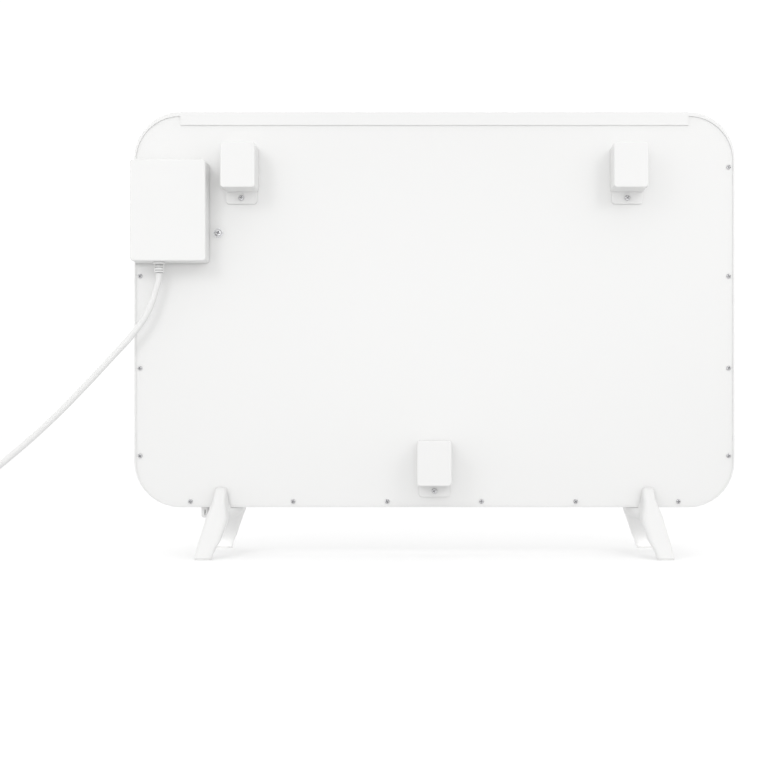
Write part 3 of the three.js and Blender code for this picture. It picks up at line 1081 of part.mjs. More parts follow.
function glandNut() {
  const low = BOX_BOTTOM + BOX_WALL + FIT;
  const nut = bar(GLAND_NUT, low, low + GLAND_NUT_HEIGHT, 'z', 6);
  return cut(nut, bar(GLAND_NECK + FIT, low - FIT, low + GLAND_NUT_HEIGHT + FIT, 'z'))
    .translate(GLAND_X, BOX_MID_Y, 0);
}

const GLAND_END = BOX_BOTTOM - FIT - GLAND_OUTSIDE;
const TAIL_TOP = BOARD_Z - STANDOFF;
const CORE_SPREAD = 1.6;
const CORE = 0.7;
const terminalLow = BOARD_Z + terminalZ - TERMINALS[1] / 2;
add('strain_relief', strainRelief(), WHITE_PLASTIC);
add('gland_nut', glandNut(), WHITE_PLASTIC);
const tailCores = [-1, 0, 1].map((place) => bar(CORE, TAIL_TOP - CORE, terminalLow - FIT, 'z', WIRE_SIDES)
  .translate(place * CORE_SPREAD, 0, 0));
add('cord_tail', join(bar(CORD, GLAND_END + FIT, TAIL_TOP, 'z', SMALL_SIDES), ...tailCores)
  .translate(GLAND_X, BOX_MID_Y, 0), WHITE_CORD);

// Mains cord: a free stretch, a coil of two layers on the floor, a short lead and the plug
const COIL_DISTANCE = 339.2;
const COIL_X = GLAND_X - COIL_DISTANCE;
const COIL_OUTER = 46.5;
const COIL_PITCH = 7;
const COIL_LAYER_TURNS = 2.5;
const COIL_CLIMB = 7;
const COIL_STEPS = 24;
const COIL_SIDES = 6;
const CORD_SIDES = 8;
const FLOOR_GAP = 0.1;
const CORD_Y = BOX_MID_Y;
const COIL_Y = CORD_Y + COIL_OUTER;
const COIL_Z = CORD + FLOOR_GAP;
const COIL_TOTAL = 2 * COIL_LAYER_TURNS + 0.5;

// Route of the cord as [distance from its outlet, height] pairs
const cordRoute = [
  [0.6, 273], [1.9, 268], [3.8, 262], [6.4, 253.1], [10.4, 243.2], [15.2, 234.3], [20, 227.3],
  [24.7, 221.3], [29.6, 215], [36.8, 207.2], [44.4, 199.2], [53.4, 189.4], [65.9, 175.8],
  [79.2, 161.9], [90.4, 150.3], [100.3, 140.4], [112.2, 129], [127.2, 115.4], [145.2, 100], [165.2, 83.6],
  [185.2, 67.8], [205.2, 52.8], [225.2, 39], [245.2, 26.8], [265.2, 16.8], [283.2, 9.8], [301.2, 5.4],
  [317.2, 3.6],
];

function powerCord() {
  const points = [[0, GLAND_END - FIT], ...cordRoute].map(([away, z]) =>
    new THREE.Vector3(GLAND_X - away, CORD_Y, z));
  points.push(new THREE.Vector3(COIL_X + 2 * CORD + FIT, CORD_Y, COIL_Z));
  return tube(points, CORD, CORD_SIDES, 44);
}

// Place on the coil after so many turns: in on the lower layer, out again on the upper one
function coilPlace(turn) {
  const back = COIL_LAYER_TURNS + 0.25;
  const radius = COIL_OUTER - COIL_PITCH * (back - Math.abs(turn - back));
  const angle = -Math.PI / 2 - 2 * Math.PI * turn;
  const climb = THREE.MathUtils.smoothstep(turn, COIL_LAYER_TURNS, COIL_LAYER_TURNS + 0.5);
  return new THREE.Vector3(COIL_X + radius * Math.cos(angle), COIL_Y + radius * Math.sin(angle),
    COIL_Z + COIL_CLIMB * climb);
}

function cordCoil() {
  const count = Math.round(COIL_TOTAL * COIL_STEPS);
  const centres = Array.from({ length: count + 1 }, (_, step) => coilPlace((step / count) * COIL_TOTAL));
  const lead = new THREE.Vector3(2 * CORD, 0, 0);
  centres.unshift(centres[0].clone().add(lead));
  centres.push(centres.at(-1).clone().add(lead));
  reportGap(centres);
  return loft(centres.map((centre, k) => {
    const ahead = centres[Math.min(k + 1, centres.length - 1)].clone().sub(centres[Math.max(k - 1, 0)]);
    const sideways = new THREE.Vector3(-ahead.y, ahead.x, 0).normalize();
    if (k === 0 || k === centres.length - 1) sideways.set(0, Math.sign(sideways.y), 0);
    return Array.from({ length: COIL_SIDES }, (_, side) => {
      const angle = (2 * Math.PI * side) / COIL_SIDES;
      return centre.clone().addScaledVector(sideways, CORD * Math.cos(angle))
        .add(new THREE.Vector3(0, 0, CORD * Math.sin(angle)));
    });
  }));
}

// The least distance between the surfaces of turns that are not neighbours along the cord
function reportGap(centres) {
  let least = Infinity;
  for (let a = 0; a < centres.length; a += 1) {
    for (let b = a + Math.round(COIL_STEPS / 2); b < centres.length; b += 1) {
      least = Math.min(least, centres[a].distanceTo(centres[b]));
    }
  }
  console.log(`least gap between turns of the coil: ${(least - 2 * CORD).toFixed(2)} mm`);
}

// Plug: it lies on its neck and on the rim of its disc, tilted up towards the pins
const PLUG_NECK = 4.4;
const PLUG_NECK_TOP = 5.6;
const PLUG_NECK_LENGTH = 24;
const PLUG_GRIP = 7.5;
const PLUG_GRIP_TOP = 14;
const PLUG_GRIP_LENGTH = 20;
const PLUG_DISC = 18.5;
const PLUG_DISC_LENGTH = 16;
const PLUG_EDGE = 2;
const PLUG_PIN = 2.4;
const PLUG_PIN_LENGTH = 19;
const PLUG_PIN_SPREAD = 9.5;
const PLUG_GROOVE = 4;
const PLUG_GROOVE_DEPTH = 3.2;
const PLUG_CLIP = 1;
const PLUG_BRIDGE_DEPTH = 9;
const PLUG_LEAD = 44;
const discStart = PLUG_NECK_LENGTH + PLUG_GRIP_LENGTH;
const plugFace = discStart + PLUG_DISC_LENGTH;
const neckHeight = PLUG_NECK + FIT;
const discRim = PLUG_DISC + 2 * FLOOR_GAP;
const plugTilt = Math.atan2(discRim, discStart) - Math.asin(neckHeight / Math.hypot(discRim, discStart));

function plugBody() {
  const body = turned([[0, 0], [PLUG_NECK, 0], [PLUG_NECK_TOP, PLUG_NECK_LENGTH],
    [PLUG_GRIP, PLUG_NECK_LENGTH + PLUG_EDGE], [PLUG_GRIP_TOP, discStart - PLUG_EDGE],
    [PLUG_DISC - PLUG_EDGE, discStart - PLUG_EDGE], [PLUG_DISC, discStart],
    [PLUG_DISC, plugFace - PLUG_EDGE], [PLUG_DISC - PLUG_EDGE, plugFace], [0, plugFace]], 24);
  const grooves = [-1, 1].map((side) => block(-PLUG_GROOVE, PLUG_GROOVE, discStart + PLUG_EDGE,
    plugFace + OVERRUN,
    side * (PLUG_DISC - PLUG_GROOVE_DEPTH), side * (PLUG_DISC + OVERRUN)));
  const bridge = plugBridge(FIT, plugFace + FIT);
  return cut(body, ...grooves, ...bridge, earthStrip(FIT));
}

// Both pins with the small bridge inside the plug that holds them, or the space that they need
function plugBridge(margin, end) {
  const start = plugFace - PLUG_BRIDGE_DEPTH;
  const bars = [-1, 1].map((side) => bar(PLUG_PIN + margin, start, end)
    .translate(side * PLUG_PIN_SPREAD, 0, 0));
  const x = PLUG_PIN_SPREAD + PLUG_PIN + margin;
  const bridge = block(-x, x, start - margin, start + PLUG_EDGE + margin, -PLUG_PIN - margin,
    PLUG_PIN + margin);
  return [...bars, bridge];
}

function plugPins() {
  const tips = [-1, 1].map((side) => turned([[0, plugFace], [PLUG_PIN, plugFace],
    [PLUG_PIN, plugFace + PLUG_PIN_LENGTH - PLUG_PIN / 2], [PLUG_PIN / 2, plugFace + PLUG_PIN_LENGTH],
    [0, plugFace + PLUG_PIN_LENGTH]]).translate(side * PLUG_PIN_SPREAD, 0, 0));
  return join(...plugBridge(0, plugFace + FIT), ...tips);
}

// One bent strip whose two ends are the earth contacts, or the space that it needs
function earthStrip(margin) {
  const reach = PLUG_DISC - PLUG_GROOVE_DEPTH + FIT + PLUG_CLIP;
  const x = PLUG_GROOVE - PLUG_CLIP + margin;
  const y = discStart + PLUG_EDGE + FIT;
  const cross = block(-x, x, y - margin, y + PLUG_CLIP + margin, -reach - margin, reach + margin);
  const ends = [-1, 1].map((side) => block(-x, x, y - margin, plugFace - PLUG_EDGE + margin,
    side * (reach - PLUG_CLIP - margin), side * (reach + margin)));
  return join(cross, ...ends);
}

const leadStart = new THREE.Vector3(COIL_X + 2 * CORD + FIT, COIL_Y + COIL_OUTER, COIL_Z + COIL_CLIMB);
const plugPlace = new THREE.Vector3(leadStart.x + PLUG_LEAD, leadStart.y, neckHeight);

function plugLead() {
  const ahead = new THREE.Vector3(Math.cos(plugTilt), 0, Math.sin(plugTilt));
  const end = plugPlace.clone().addScaledVector(ahead, -2 * FIT);
  const along = (share, height) => new THREE.Vector3(leadStart.x + share * PLUG_LEAD, leadStart.y, height);
  return tube([leadStart, along(0.16, leadStart.z - FIT), along(0.42, COIL_Z + 0.5 * COIL_CLIMB),
    along(0.66, COIL_Z + FIT), along(0.84, COIL_Z), end], CORD, CORD_SIDES, 12);
}

const plugGroup = new THREE.Group();
plugGroup.position.copy(plugPlace);
const plugAhead = new THREE.Vector3(Math.cos(plugTilt), 0, Math.sin(plugTilt));
const plugSide = new THREE.Vector3(0, 1, 0);
const plugUp = new THREE.Vector3().crossVectors(plugSide, plugAhead);
plugGroup.quaternion.setFromRotationMatrix(new THREE.Matrix4().makeBasis(plugSide, plugAhead, plugUp));
heater.add(plugGroup);

add('power_cord', powerCord(), WHITE_CORD);
add('cord_coil', cordCoil(), WHITE_CORD);
add('plug_lead', plugLead(), WHITE_CORD);
add('plug_body', plugBody(), WHITE_PLASTIC, plugGroup);
add('plug_pins', plugPins(), STEEL, plugGroup);
add('plug_earth_strip', earthStrip(0), STEEL, plugGroup);

export default heater;
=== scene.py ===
"""White infrared panel heater on saddle feet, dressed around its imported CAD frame.

Every size in the classes is in millimetres, in the frame of the CAD model: +Z is up, the warm front
faces +Y and the back, with the control box, faces -Y.
"""

from __future__ import annotations

import json
import logging
import math
from dataclasses import dataclass, field
from enum import Enum
from typing import Iterable, Optional, Sequence, Union

import bmesh
import bpy
from mathutils import Matrix, Vector

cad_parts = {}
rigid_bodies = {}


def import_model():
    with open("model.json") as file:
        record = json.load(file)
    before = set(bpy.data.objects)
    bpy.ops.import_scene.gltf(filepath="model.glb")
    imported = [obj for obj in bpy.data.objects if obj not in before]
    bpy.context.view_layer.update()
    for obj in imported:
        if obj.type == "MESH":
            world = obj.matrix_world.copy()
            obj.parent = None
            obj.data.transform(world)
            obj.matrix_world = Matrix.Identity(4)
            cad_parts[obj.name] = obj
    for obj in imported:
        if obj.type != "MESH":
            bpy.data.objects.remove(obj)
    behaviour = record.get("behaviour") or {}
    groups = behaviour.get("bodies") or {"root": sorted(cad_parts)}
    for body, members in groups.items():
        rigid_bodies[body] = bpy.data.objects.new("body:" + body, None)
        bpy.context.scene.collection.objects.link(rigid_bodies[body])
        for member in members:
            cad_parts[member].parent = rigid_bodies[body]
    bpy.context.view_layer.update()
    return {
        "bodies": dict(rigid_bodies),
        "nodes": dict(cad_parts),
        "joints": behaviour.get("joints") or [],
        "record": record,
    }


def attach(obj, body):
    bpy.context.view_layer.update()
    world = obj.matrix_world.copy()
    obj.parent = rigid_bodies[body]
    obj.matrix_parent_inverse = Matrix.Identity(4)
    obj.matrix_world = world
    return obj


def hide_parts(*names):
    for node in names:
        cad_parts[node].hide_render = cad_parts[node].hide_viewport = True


LOG = logging.getLogger("panel_heater")
MM = 0.001
Point = tuple[float, float, float]


class Axis(Enum):
    """The three axes of the part's frame."""

    X = Vector((1.0, 0.0, 0.0))
    Y = Vector((0.0, 1.0, 0.0))
    Z = Vector((0.0, 0.0, 1.0))


class Body(Enum):
    """The CAD bodies that a piece can ride on."""

    FIXED = "root"
    ROCKER = "rocker"


class Wire:
    """One shader socket that can be used in Python sums."""

    def __init__(self, graph: "Graph", socket: bpy.types.NodeSocket) -> None:
        """Keeps the socket and the graph that it belongs to."""
        self.graph = graph
        self.socket = socket

    def _sum(self, operation: str, first: object, second: object) -> "Wire":
        """Adds one Math node.

        Args:
            operation: The Math node's operation.
            first: Its first value or socket.
            second: Its second value or socket.

        Returns:
            The node's output.
        """
        return self.graph.node("ShaderNodeMath", {"operation": operation}, {0: first, 1: second})

    def __add__(self, other: object) -> "Wire":
        """Returns self + other."""
        return self._sum("ADD", self, other)

    __radd__ = __add__

    def __sub__(self, other: object) -> "Wire":
        """Returns self - other."""
        return self._sum("SUBTRACT", self, other)

    def __rsub__(self, other: object) -> "Wire":
        """Returns other - self."""
        return self._sum("SUBTRACT", other, self)

    def __mul__(self, other: object) -> "Wire":
        """Returns self * other."""
        return self._sum("MULTIPLY", self, other)

    __rmul__ = __mul__

    def between(self, low: float, high: float) -> "Wire":
        """Maps 0 to 1 on to low to high.

        Args:
            low: The value for 0.
            high: The value for 1.

        Returns:
            The mapped socket.
        """
        return self * (high - low) + low


class Graph:
    """The nodes of one material."""

    def __init__(self, name: str) -> None:
        """Makes an empty material with a Principled shader.

        Args:
            name: The material's name.
        """
        self.material = bpy.data.materials.new(name)
        self.material.use_nodes = True
        self.tree = self.material.node_tree
        self.tree.nodes.clear()
        self.shader = self.tree.nodes.new("ShaderNodeBsdfPrincipled")
        output = self.tree.nodes.new("ShaderNodeOutputMaterial")
        self.tree.links.new(self.shader.outputs["BSDF"], output.inputs["Surface"])

    def node(self, kind: str, settings: dict[str, object], sockets: dict[Union[str, int], object],
             output: Union[str, int] = 0) -> Wire:
        """Adds one node.

        Args:
            kind: The node's type.
            settings: Its properties, set first.
            sockets: The values or links of its inputs.
            output: The output that is wanted.

        Returns:
            That output.
        """
        made = self.tree.nodes.new(kind)
        for key, value in settings.items():
            if key == "stops":
                self._stops(made, value)
            else:
                setattr(made, key, value)
        for key, value in sockets.items():
            self.feed(made.inputs[key], value)
        return Wire(self, made.outputs[output])

    @staticmethod
    def _stops(ramp: bpy.types.Node, stops: Sequence[tuple[float, Sequence[float]]]) -> None:
        """Sets the stops of a colour ramp.

        Args:
            ramp: The Color Ramp node.
            stops: Pairs of a position and a colour.
        """
        elements = ramp.color_ramp.elements
        while len(elements) < len(stops):
            elements.new(1.0)
        for element, (position, colour) in zip(elements, stops):
            element.position = position
            element.color = (*colour, 1.0)

    def feed(self, target: bpy.types.NodeSocket, value: object) -> None:
        """Links or sets one input.

        Args:
            target: The input.
            value: A Wire, a number or a tuple.
        """
        if isinstance(value, Wire):
            self.tree.links.new(value.socket, target)
        else:
            target.default_value = value

    def set(self, **values: object) -> None:
        """Sets inputs of the shader, with _ for each space in a name."""
        for key, value in values.items():
            self.feed(self.shader.inputs[key.replace("_", " ")], value)

    def place(self) -> Wire:
        """Returns the Object coordinates."""
        return self.node("ShaderNodeTexCoord", {}, {}, "Object")

    def noise(self, scale: float, detail: float = 2.0, roughness: float = 0.5,
              vector: Optional[Wire] = None) -> Wire:
        """Adds a noise.

        Args:
            scale: Its features per metre.
            detail: Its octaves.
            roughness: The weight of its finer octaves.
            vector: Where it is read, or None for Object coordinates.

        Returns:
            The noise from 0 to 1.
        """
        where = vector or self.place()
        return self.node("ShaderNodeTexNoise", {},
                         {"Vector": where, "Scale": scale, "Detail": detail, "Roughness": roughness})

    def shades(self, mask: Wire, low: Sequence[float], high: Sequence[float]) -> Wire:
        """Mixes two colours.

        Args:
            mask: 0 for the first, 1 for the second.
            low: The first colour.
            high: The second colour.

        Returns:
            The mixed colour.
        """
        return self.node("ShaderNodeMix", {"data_type": "RGBA"},
                         {0: mask, 6: (*low, 1.0), 7: (*high, 1.0)}, 2)

    def bump(self, height: Wire, depth: float, strength: float = 1.0) -> None:
        """Feeds a Bump to the shader.

        Args:
            height: The height, from 0 to 1.
            depth: What 1 is, in millimetres.
            strength: The Bump node's strength.
        """
        made = self.node("ShaderNodeBump", {}, {"Height": height, "Distance": depth * MM, "Strength": strength})
        self.set(Normal=made)


def tinted(colour: Sequence[float], factor: float) -> tuple[float, float, float]:
    """Returns a colour times a factor."""
    return (colour[0] * factor, colour[1] * factor, colour[2] * factor)


@dataclass(frozen=True)
class PowderCoat:
    """Satin powder paint on sheet steel, with its faint orange peel."""

    name: str = "white_powder_coat"
    colour: tuple[float, float, float] = (0.79, 0.79, 0.785)
    roughness: float = 0.42
    peel_scale: float = 520.0
    peel_depth: float = 0.022

    def build(self) -> bpy.types.Material:
        """Returns the material."""
        graph = Graph(self.name)
        cloud = graph.noise(9.0, 3.0)
        peel = graph.noise(self.peel_scale, 2.0, 0.45)
        fine = graph.noise(self.peel_scale * 4.2, 2.0)
        graph.set(Base_Color=graph.shades(cloud, tinted(self.colour, 0.985), self.colour),
                  Roughness=(cloud * 0.06 + peel * 0.08) + (self.roughness - 0.07),
                  Coat_Weight=0.12, Coat_Roughness=0.3)
        graph.bump(peel + fine * 0.22, self.peel_depth)
        return graph.material


@dataclass(frozen=True)
class MouldedPlastic:
    """Injection-moulded plastic with a fine spark-eroded grain and soft flow marks."""

    name: str
    colour: tuple[float, float, float]
    roughness: float = 0.48
    grain_scale: float = 2600.0
    grain_depth: float = 0.012

    def build(self) -> bpy.types.Material:
        """Returns the material."""
        graph = Graph(self.name)
        flow = graph.noise(16.0, 3.0)
        grain = graph.noise(self.grain_scale, 2.0, 0.6)
        pits = graph.node("ShaderNodeTexVoronoi", {"feature": "F1"},
                          {"Vector": graph.place(), "Scale": self.grain_scale * 0.7})
        graph.set(Base_Color=graph.shades(flow, tinted(self.colour, 0.975), self.colour),
                  Roughness=(flow * 0.08 + grain * 0.12) + (self.roughness - 0.1),
                  IOR=1.5)
        graph.bump(grain * 0.6 + pits * 0.4, self.grain_depth)
        return graph.material


@dataclass(frozen=True)
class CableSheath:
    """Extruded PVC with a light sheen and slow waves from the extruder."""

    name: str
    colour: tuple[float, float, float]
    roughness: float = 0.38

    def build(self) -> bpy.types.Material:
        """Returns the material."""
        graph = Graph(self.name)
        waves = graph.noise(70.0, 2.0)
        dust = graph.noise(900.0, 2.0, 0.5)
        graph.set(Base_Color=graph.shades(waves, tinted(self.colour, 0.975), self.colour),
                  Roughness=(dust * 0.1 + waves * 0.06) + (self.roughness - 0.08),
                  Sheen_Weight=0.08)
        graph.bump(waves, 0.03, 0.6)
        return graph.material


@dataclass(frozen=True)
class SoftRubber:
    """Matte rubber with a dusty bloom."""

    name: str
    colour: tuple[float, float, float]

    def build(self) -> bpy.types.Material:
        """Returns the material."""
        graph = Graph(self.name)
        bloom = graph.noise(240.0, 4.0, 0.62)
        grain = graph.noise(3200.0, 2.0)
        graph.set(Base_Color=graph.shades(bloom, tinted(self.colour, 0.85), tinted(self.colour, 1.12)),
                  Roughness=bloom.between(0.72, 0.92), Sheen_Weight=0.15)
        graph.bump(grain + bloom * 0.4, 0.02)
        return graph.material


@dataclass(frozen=True)
class PlatedSteel:
    """Zinc or nickel plate with spangles, fine scratches and uneven gloss."""

    name: str
    colour: tuple[float, float, float] = (0.6, 0.6, 0.61)
    roughness: float = 0.3
    scratch_scale: float = 900.0
    spangle: float = 0.08

    def build(self) -> bpy.types.Material:
        """Returns the material."""
        graph = Graph(self.name)
        spangle = graph.node("ShaderNodeTexVoronoi", {"feature": "F1"},
                             {"Vector": graph.place(), "Scale": 420.0}, "Color")
        tone = graph.node("ShaderNodeSeparateColor", {}, {"Color": spangle}, 0)
        stretched = graph.node("ShaderNodeMapping", {}, {"Vector": graph.place(), "Scale": (1.0, 1.0, 0.06)})
        scratch = graph.noise(self.scratch_scale, 3.0, 0.7, stretched)
        graph.set(Base_Color=graph.shades(tone, tinted(self.colour, 1 - self.spangle), tinted(self.colour, 1.05)),
                  Metallic=1.0,
                  Roughness=(tone * self.spangle + scratch * 0.14) + (self.roughness - 0.1))
        graph.bump(scratch, 0.006)
        return graph.material


@dataclass(frozen=True)
class MetalFoil:
    """Thin foil with shallow creases."""

    name: str
    colour: tuple[float, float, float]
    crease_scale: float = 38.0

    def build(self) -> bpy.types.Material:
        """Returns the material."""
        graph = Graph(self.name)
        crease = graph.node("ShaderNodeTexVoronoi", {"feature": "DISTANCE_TO_EDGE"},
                            {"Vector": graph.place(), "Scale": self.crease_scale})
        cloud = graph.noise(60.0, 4.0)
        graph.set(Base_Color=graph.shades(cloud, tinted(self.colour, 0.88), self.colour), Metallic=1.0,
                  Roughness=cloud.between(0.18, 0.36))
        graph.bump(crease + cloud * 0.5, 0.25, 0.6)
        return graph.material


@dataclass(frozen=True)
class PressedFibre:
    """Compressed fibre board or coated film, with short fibres in it."""

    name: str
    colour: tuple[float, float, float]
    dark: float = 0.72

    def build(self) -> bpy.types.Material:
        """Returns the material."""
        graph = Graph(self.name)
        along = graph.node("ShaderNodeMapping", {}, {"Vector": graph.place(), "Scale": (1.0, 1.0, 7.0)})
        across = graph.node("ShaderNodeMapping", {}, {"Vector": graph.place(), "Scale": (7.0, 1.0, 1.0)})
        fibres = graph.noise(260.0, 4.0, 0.7, along) * graph.noise(260.0, 4.0, 0.7, across) * 2.6
        graph.set(Base_Color=graph.shades(fibres, tinted(self.colour, self.dark), self.colour),
                  Roughness=fibres.between(0.98, 0.8))
        graph.bump(fibres, 0.12)
        return graph.material


@dataclass(frozen=True)
class SolderMask:
    """Lacquered circuit board with tracks below the lacquer."""

    name: str = "solder_mask_green"
    colour: tuple[float, float, float] = (0.03, 0.2, 0.07)

    def build(self) -> bpy.types.Material:
        """Returns the material."""
        graph = Graph(self.name)
        tracks = graph.node("ShaderNodeTexBrick", {"offset": 0.35},
                            {"Vector": graph.node("ShaderNodeMapping", {},
                                                  {"Vector": graph.place(), "Rotation": (math.pi / 2, 0, 0)}),
                             "Scale": 90.0, "Mortar Size": 0.04}, "Fac")
        cloud = graph.noise(700.0, 3.0)
        graph.set(Base_Color=graph.shades(tracks, self.colour, tinted(self.colour, 1.9)),
                  Roughness=cloud.between(0.22, 0.4), Coat_Weight=0.4)
        graph.bump(tracks + cloud * 0.1, 0.04)
        return graph.material


@dataclass(frozen=True)
class GlossPanel:
    """Polished dark touch glass with a trace of fingerprints."""

    name: str = "touch_glass_black"
    colour: tuple[float, float, float] = (0.012, 0.012, 0.014)

    def build(self) -> bpy.types.Material:
        """Returns the material."""
        graph = Graph(self.name)
        prints = graph.noise(130.0, 5.0, 0.7)
        graph.set(Base_Color=graph.shades(prints, self.colour, tinted(self.colour, 1.5)),
                  Roughness=prints.between(0.05, 0.2), Coat_Weight=0.5, Coat_Roughness=0.04)
        graph.bump(prints, 0.004)
        return graph.material


Finish = Union[PowderCoat, MouldedPlastic, CableSheath, SoftRubber, PlatedSteel, MetalFoil, PressedFibre,
               SolderMask, GlossPanel]

WHITE_COAT = PowderCoat()
WHITE_PLASTIC = MouldedPlastic("white_moulded_plastic", (0.8, 0.8, 0.795))
BLACK_PLASTIC = MouldedPlastic("black_moulded_plastic", (0.018, 0.018, 0.019), 0.42)
CREAM_PLASTIC = MouldedPlastic("cream_bakelite", (0.72, 0.66, 0.52), 0.4)
BLUE_PLASTIC = MouldedPlastic("blue_moulded_plastic", (0.03, 0.1, 0.32), 0.4)
GREEN_PLASTIC = MouldedPlastic("green_moulded_plastic", (0.04, 0.26, 0.1), 0.45)
WHITE_SHEATH = CableSheath("white_cord_sheath", (0.78, 0.78, 0.775))
BROWN_SHEATH = CableSheath("brown_wire_sheath", (0.16, 0.06, 0.03))
BLUE_SHEATH = CableSheath("blue_wire_sheath", (0.03, 0.1, 0.4))
GREEN_SHEATH = CableSheath("green_wire_sheath", (0.24, 0.42, 0.05))
GREY_SHEATH = CableSheath("grey_wire_sheath", (0.55, 0.55, 0.55))
WHITE_RUBBER = SoftRubber("white_pad_rubber", (0.78, 0.78, 0.77))
BLACK_RUBBER = SoftRubber("black_rubber", (0.03, 0.03, 0.03))
# Grey rubber for the outlet's seal, which shows only in the grooves between the rings: its dark grey is painted
# groove shade.
GROOVE_SHADE_RUBBER = SoftRubber("grey_seal_rubber_groove_shade", (0.48, 0.48, 0.48))
PRINT_GREY = MouldedPlastic("pale_key_print", (0.6, 0.6, 0.6), 0.5)
ZINC = PlatedSteel("zinc_plated_steel")
NICKEL = PlatedSteel("nickel_plate", (0.62, 0.6, 0.56), 0.2, spangle=0.01)
BRASS = PlatedSteel("turned_brass", (0.72, 0.52, 0.22), 0.26, spangle=0.02)
COPPER = MetalFoil("copper_foil", (0.8, 0.36, 0.2))
FOIL = MetalFoil("bright_aluminium_foil", (0.82, 0.83, 0.84))
CAN = PlatedSteel("aluminium_can", (0.12, 0.18, 0.4), 0.3)
CARBON = PressedFibre("carbon_film", (0.05, 0.05, 0.055), 0.5)
FIBRE = PressedFibre("fibre_insulation", (0.74, 0.68, 0.5))
MASK = SolderMask()
TOUCH_GLASS = GlossPanel()


class FinishShelf:
    """Keeps one material for each finish."""

    def __init__(self) -> None:
        """Starts with no material."""
        self.ready: dict[str, bpy.types.Material] = {}

    def take(self, finish: Finish) -> bpy.types.Material:
        """Returns the material of a finish, made once."""
        if finish.name not in self.ready:
            self.ready[finish.name] = finish.build()
        return self.ready[finish.name]


class Workshop:
    """Makes objects out of bmesh forms, and dresses the nodes that keep their CAD shape."""

    def __init__(self, frame: dict[str, object]) -> None:
        """Keeps the frame and an empty shelf of finishes.
        """
        self.nodes: dict[str, bpy.types.Object] = frame["nodes"]
        self.shelf = FinishShelf()
        self.count = 0

    def dress(self, finish: Finish, *names: str) -> None:
        """Gives CAD nodes a finish.

        Args:
            finish: The finish.
            *names: The nodes.
        """
        material = self.shelf.take(finish)
        for name in names:
            node = self.nodes[name]
            node.data.materials.clear()
            node.data.materials.append(material)
            LOG.info("dressed %s", name)

    def copy_of(self, name: str) -> bmesh.types.BMesh:
        """Returns a merged copy of a CAD node's mesh, in millimetres."""
        form = bmesh.new()
        form.from_mesh(self.nodes[name].data)
        bmesh.ops.scale(form, vec=(1 / MM, 1 / MM, 1 / MM), verts=form.verts)
        bmesh.ops.remove_doubles(form, verts=form.verts, dist=0.002)
        bmesh.ops.dissolve_limit(form, angle_limit=math.radians(0.4), verts=form.verts, edges=form.edges,
                                 delimit={"NORMAL"})
        return form

    def piece(self, name: str, form: bmesh.types.BMesh, finish: Finish, body: Body = Body.FIXED,
              replaces: Sequence[str] = (), smooth: float = 38.0) -> bpy.types.Object:
        """Turns a form in millimetres into a piece of the heater.

        Args:
            name: The piece's name.
            form: Its form, which is used up.
            finish: Its finish.
            body: The body that it rides on.
            replaces: The CAD nodes that it stands for.
            smooth: Edges under this angle, in degrees, are shaded smooth.

        Returns:
            The object.
        """
        bmesh.ops.scale(form, vec=(MM, MM, MM), verts=form.verts)
        bmesh.ops.recalc_face_normals(form, faces=form.faces)
        mesh = bpy.data.meshes.new(name)
        form.to_mesh(mesh)
        form.free()
        mesh.shade_smooth()
        mesh.set_sharp_from_angle(angle=math.radians(smooth))
        made = bpy.data.objects.new(name, mesh)
        bpy.context.scene.collection.objects.link(made)
        made.data.materials.append(self.shelf.take(finish))
        normals = made.modifiers.new("even_normals", "WEIGHTED_NORMAL")
        normals.keep_sharp = True
        self.settle(made, body, replaces)
        return made

    def trim(self, made: bpy.types.Object, width: float) -> None:
        """Rounds a piece's sharp edges, before its normals are evened out.

        Args:
            made: The piece.
            width: The width of the round, in millimetres.
        """
        edge = made.modifiers.new("soft_edges", "BEVEL")
        edge.width = width * MM
        edge.segments = 2
        edge.limit_method = "ANGLE"
        edge.angle_limit = math.radians(50)
        made.modifiers.move(len(made.modifiers) - 1, 0)

    def settle(self, made: bpy.types.Object, body: Body, replaces: Sequence[str]) -> None:
        """Args:
            made: The piece.
            body: The body that it rides on.
            replaces: The CAD nodes that it stands for.
        """
        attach(made, body.value)
        if replaces:
            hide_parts(*replaces)
        self.count += 1
        LOG.info("made %s", made.name)


def bar_edges(form: bmesh.types.BMesh, axis: Axis) -> list[bmesh.types.BMEdge]:
    """Finds the edges of a form that lie along an axis.

    Args:
        form: The form.
        axis: The axis.

    Returns:
        Its edges along that axis.
    """
    found = []
    for edge in form.edges:
        line = edge.verts[1].co - edge.verts[0].co
        if line.length > 0 and abs(line.normalized().dot(axis.value)) > 0.999:
            found.append(edge)
    return found


def rim_edges(form: bmesh.types.BMesh, y: float) -> list[bmesh.types.BMEdge]:
    """Returns the edges whose two ends lie at one place on Y."""
    return [edge for edge in form.edges if all(abs(vert.co.y - y) < 1e-4 for vert in edge.verts)]


def soften(form: bmesh.types.BMesh, edges: Iterable[bmesh.types.BMEdge], radius: float, segments: int) -> None:
    """Rounds edges.

    Args:
        form: The form that they belong to.
        edges: The edges.
        radius: The radius.
        segments: The steps of the round.
    """
    chosen = list(edges)
    if radius > 0 and chosen:
        bmesh.ops.bevel(form, geom=chosen, offset=radius, segments=segments, profile=0.5, affect="EDGES",
                        clamp_overlap=True, material=-1)


